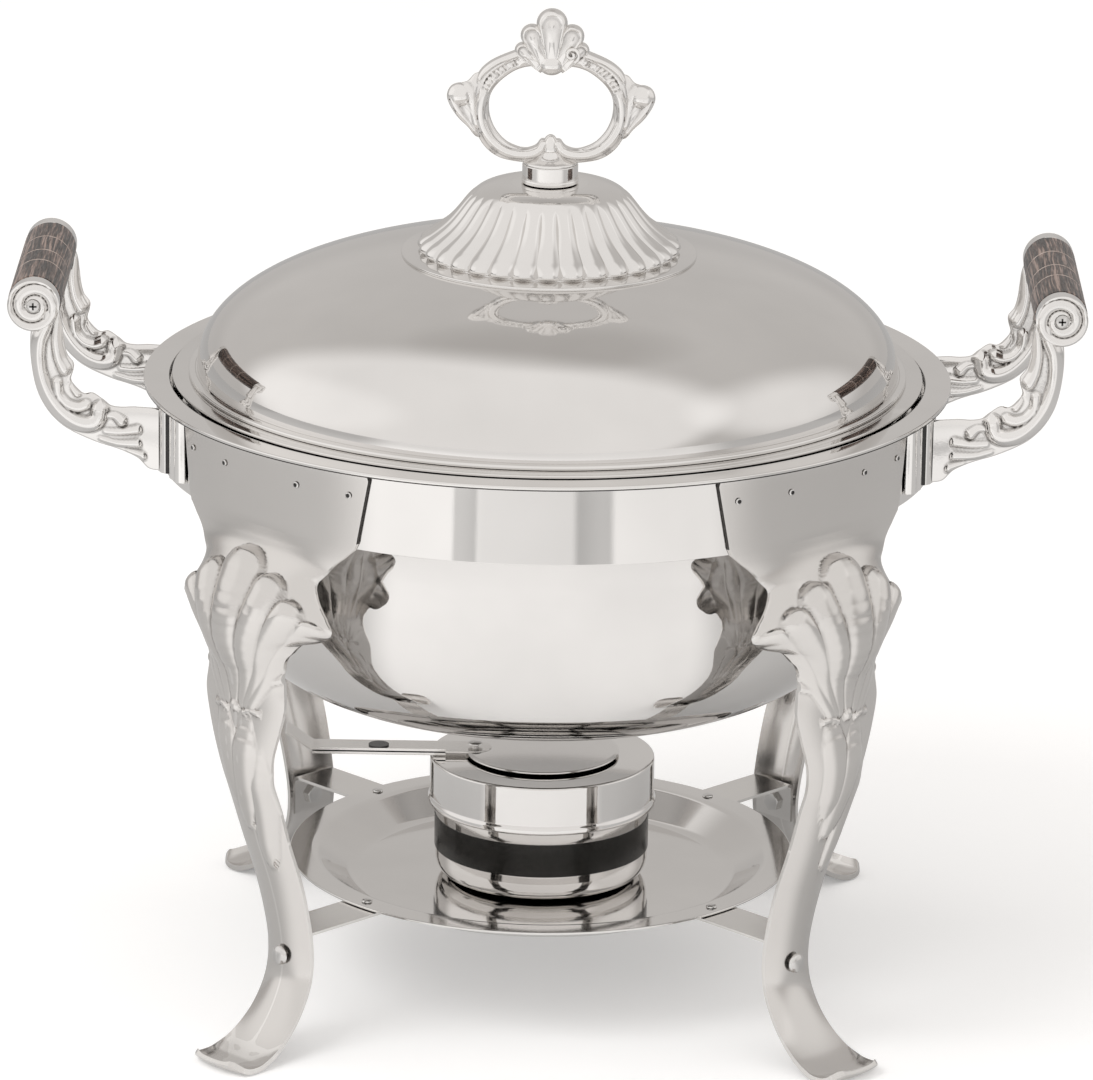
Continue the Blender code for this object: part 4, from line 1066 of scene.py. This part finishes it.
LOOK_AT = Vector((0, 0, 0.1845))
ELEVATION, AZIMUTH, ROLL = radians(16.75), radians(0.35), radians(0.78)
DISTANCE, LENS = 3.0, 243.3


def make_camera():
    camera = linked("camera", bpy.data.cameras.new("camera"))
    level = Vector((sin(AZIMUTH), -cos(AZIMUTH), 0)) * cos(ELEVATION)
    away = level + Z_AXIS * sin(ELEVATION)
    camera.location = LOOK_AT + away * DISTANCE
    upright = away.to_track_quat("Z", "Y").to_matrix()
    camera.rotation_euler = (upright @ Matrix.Rotation(ROLL, 3, "Z")).to_euler()
    camera.data.sensor_width, camera.data.lens = 36, LENS
    camera.data.shift_x, camera.data.shift_y = 0.0012, -0.0023
    bpy.context.scene.camera = camera


def product(tree, first, second, operation="MULTIPLY"):
    return node(tree, "Math", {0: first, 1: second}, operation=operation).outputs[0]


# Dull strips of floor in front, which only glossy rays see, so they are painted reflections in the upright
# band: degrees from straight ahead, half width, depth.
FLOOR_STRIPS = ((-21.2, 3.4, 0.34), (13.4, 5.4, 0.38), (-3.5, 17.0, 0.16))
STRIP_NEAR, STRIP_FAR = 0.86, 1.02
FLOOR_HALF = 9000.0


def make_floor():
    """A pale floor, duller only where polished steel mirrors it: painted reflections in the steel."""
    corners = [(x * FLOOR_HALF, y * FLOOR_HALF, 0) for x, y in ((-1, -1), (1, -1), (1, 1), (-1, 1))]
    floor = new_object("floor", corners, [(0, 1, 2, 3)], None)
    material, tree, shader, where = new_material("floor")
    pale = ramp(tree, noise(tree, where, 3.0), (0.3, (0.93,) * 3), (0.7, (0.95,) * 3))
    mirrored = make_floor_reflection(tree, where)
    is_mirrored = node(tree, "LightPath").outputs["Is Glossy Ray"]
    shade = step(tree, is_mirrored, 0.0, 1.0, 1.0, mirrored)
    looks = {
        "Base Color": node(tree, "VectorMath", {0: pale, "Scale": shade}, operation="SCALE").outputs[0],
        "Roughness": 0.9,
        "Specular IOR Level": 0.0,
        "Emission Color": (1, 1, 1, 1),
        "Emission Strength": product(tree, shade, 0.20),
    }
    feed(tree, shader, looks)
    floor.data.materials[0] = material


def make_floor_reflection(tree, where):
    """Brightness of the floor as polished steel mirrors it."""
    axes = node(tree, "SeparateXYZ", {0: where}).outputs
    bearing = product(tree, axes["X"], product(tree, axes["Y"], -1.0), "ARCTAN2")
    reach = node(tree, "VectorMath", {0: where}, operation="LENGTH").outputs["Value"]
    behind = soft_step(tree, axes["Y"], 0.35, 0.80, 0.90, 0.76)
    sideways = node(tree, "Math", {0: bearing}, operation="ABSOLUTE").outputs[0]
    mirrored = product(tree, behind, soft_step(tree, sideways, radians(45), radians(62), 1.0, 0.62))
    near = soft_step(tree, reach, STRIP_NEAR - 0.02, STRIP_NEAR, 0.0, 1.0)
    edges = product(tree, near, soft_step(tree, reach, STRIP_FAR, STRIP_FAR + 0.02, 1.0, 0))
    for middle, half, depth in FLOOR_STRIPS:
        aside = product(tree, product(tree, bearing, radians(middle), "SUBTRACT"), 0.0, "ABSOLUTE")
        strip = soft_step(tree, aside, radians(half * 0.7), radians(half * 1.15), depth, 0)
        mirrored = product(tree, mirrored, product(tree, 1.0, product(tree, strip, edges), "SUBTRACT"))
    return mirrored


def towards(tree, direction, aim):
    """How far a direction points along an aim."""
    inputs = {0: direction, 1: Vector(aim).normalized()}
    return node(tree, "VectorMath", inputs, operation="DOT_PRODUCT").outputs["Value"]


def glow(tree, direction, aim, inner, outer, amount):
    """Brightness of a soft round panel in the room."""
    near, far = cos(radians(inner)), cos(radians(outer))
    return soft_step(tree, towards(tree, direction, aim), far, near, 0.0, amount)


# Soft panels in the room: where they stand, full and outer angle, brightness.
PANELS = (
    ((-0.95, -0.05, 0.42), 16, 36, 0.10),
    ((0.93, 0.05, 0.42), 14, 40, 0.32),
    ((0.0, 0.545, 0.84), 3, 17, -0.10),
)
ROOM_TINT, ROOM_LEVEL = (1.0, 0.965, 0.935), 0.60


def make_world():
    """A soft studio, brighter in front, with soft panels at both sides."""
    world = bpy.data.worlds.new("studio")
    world.use_nodes = True
    bpy.context.scene.world = world
    tree = world.node_tree
    direction = node(tree, "TexCoord").outputs["Generated"]
    panels = soft_step(tree, towards(tree, direction, (-0.45, -0.70, 0.55)), 0.08, 0.34, 0.0, 0.34)
    for panel in PANELS:
        panels = product(tree, panels, glow(tree, direction, *panel), "ADD")
    height = node(tree, "SeparateXYZ", {0: direction}).outputs["Z"]
    backdrop = soft_step(tree, towards(tree, direction, (0, 1, 0)), 0.0, 0.5, 0.0, 0.06)
    skirt = product(tree, backdrop, soft_step(tree, height, 0.08, 0.25, 1.0, 0))
    room = product(tree, ROOM_LEVEL, skirt, "SUBTRACT")
    tint = node(tree, "VectorMath", {0: ROOM_TINT, "Scale": room}, operation="SCALE").outputs[0]
    lit = node(tree, "CombineXYZ", {0: panels, 1: panels, 2: panels}).outputs[0]
    total = node(tree, "VectorMath", {0: tint, 1: lit}, operation="ADD").outputs[0]
    background = tree.nodes["Background"]
    feed(tree, background, {"Color": total, "Strength": 1.0})
    white = node(tree, "Background", {"Color": (1, 1, 1, 1), "Strength": 1.0}).outputs[0]
    seen = node(tree, "LightPath").outputs["Is Camera Ray"]
    mix = node(tree, "MixShader", {0: seen, 1: background.outputs[0], 2: white})
    feed(tree, tree.nodes["World Output"], {"Surface": mix.outputs[0]})


def add_light(name, at, aim, size, power):
    light = linked(name, bpy.data.lights.new(name, "AREA"))
    light.data.shape, light.data.size, light.data.energy = "DISK", size, power
    light.location = at
    light.rotation_euler = (Vector(at) - Vector(aim)).to_track_quat("Z", "Y").to_euler()
    light.visible_camera = light.visible_glossy = False


def repaint_kept_nodes():
    """A fine finish on the CAD nodes that stay in view."""
    for name in ("handle_rod_left", "handle_rod_right", "lid_washer", "lid_nut"):
        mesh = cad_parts[name].data
        mesh.materials.clear()
        mesh.materials.append(FASTENER)


def main():
    for make in (
        make_water_pan, make_food_pan, make_band, make_dome, make_crown, make_collar, make_legs, make_handles,
        make_lid_handle, make_tray, make_straps, make_cup, make_cover, make_snuffer, make_fasteners,
        repaint_kept_nodes, make_floor, make_world,
    ):
        make()
    add_light("key", (-0.9, -0.9, 1.5), LOOK_AT, 1.0, 9.0)
    make_camera()
    bpy.context.scene.view_settings.view_transform = "Standard"


main()
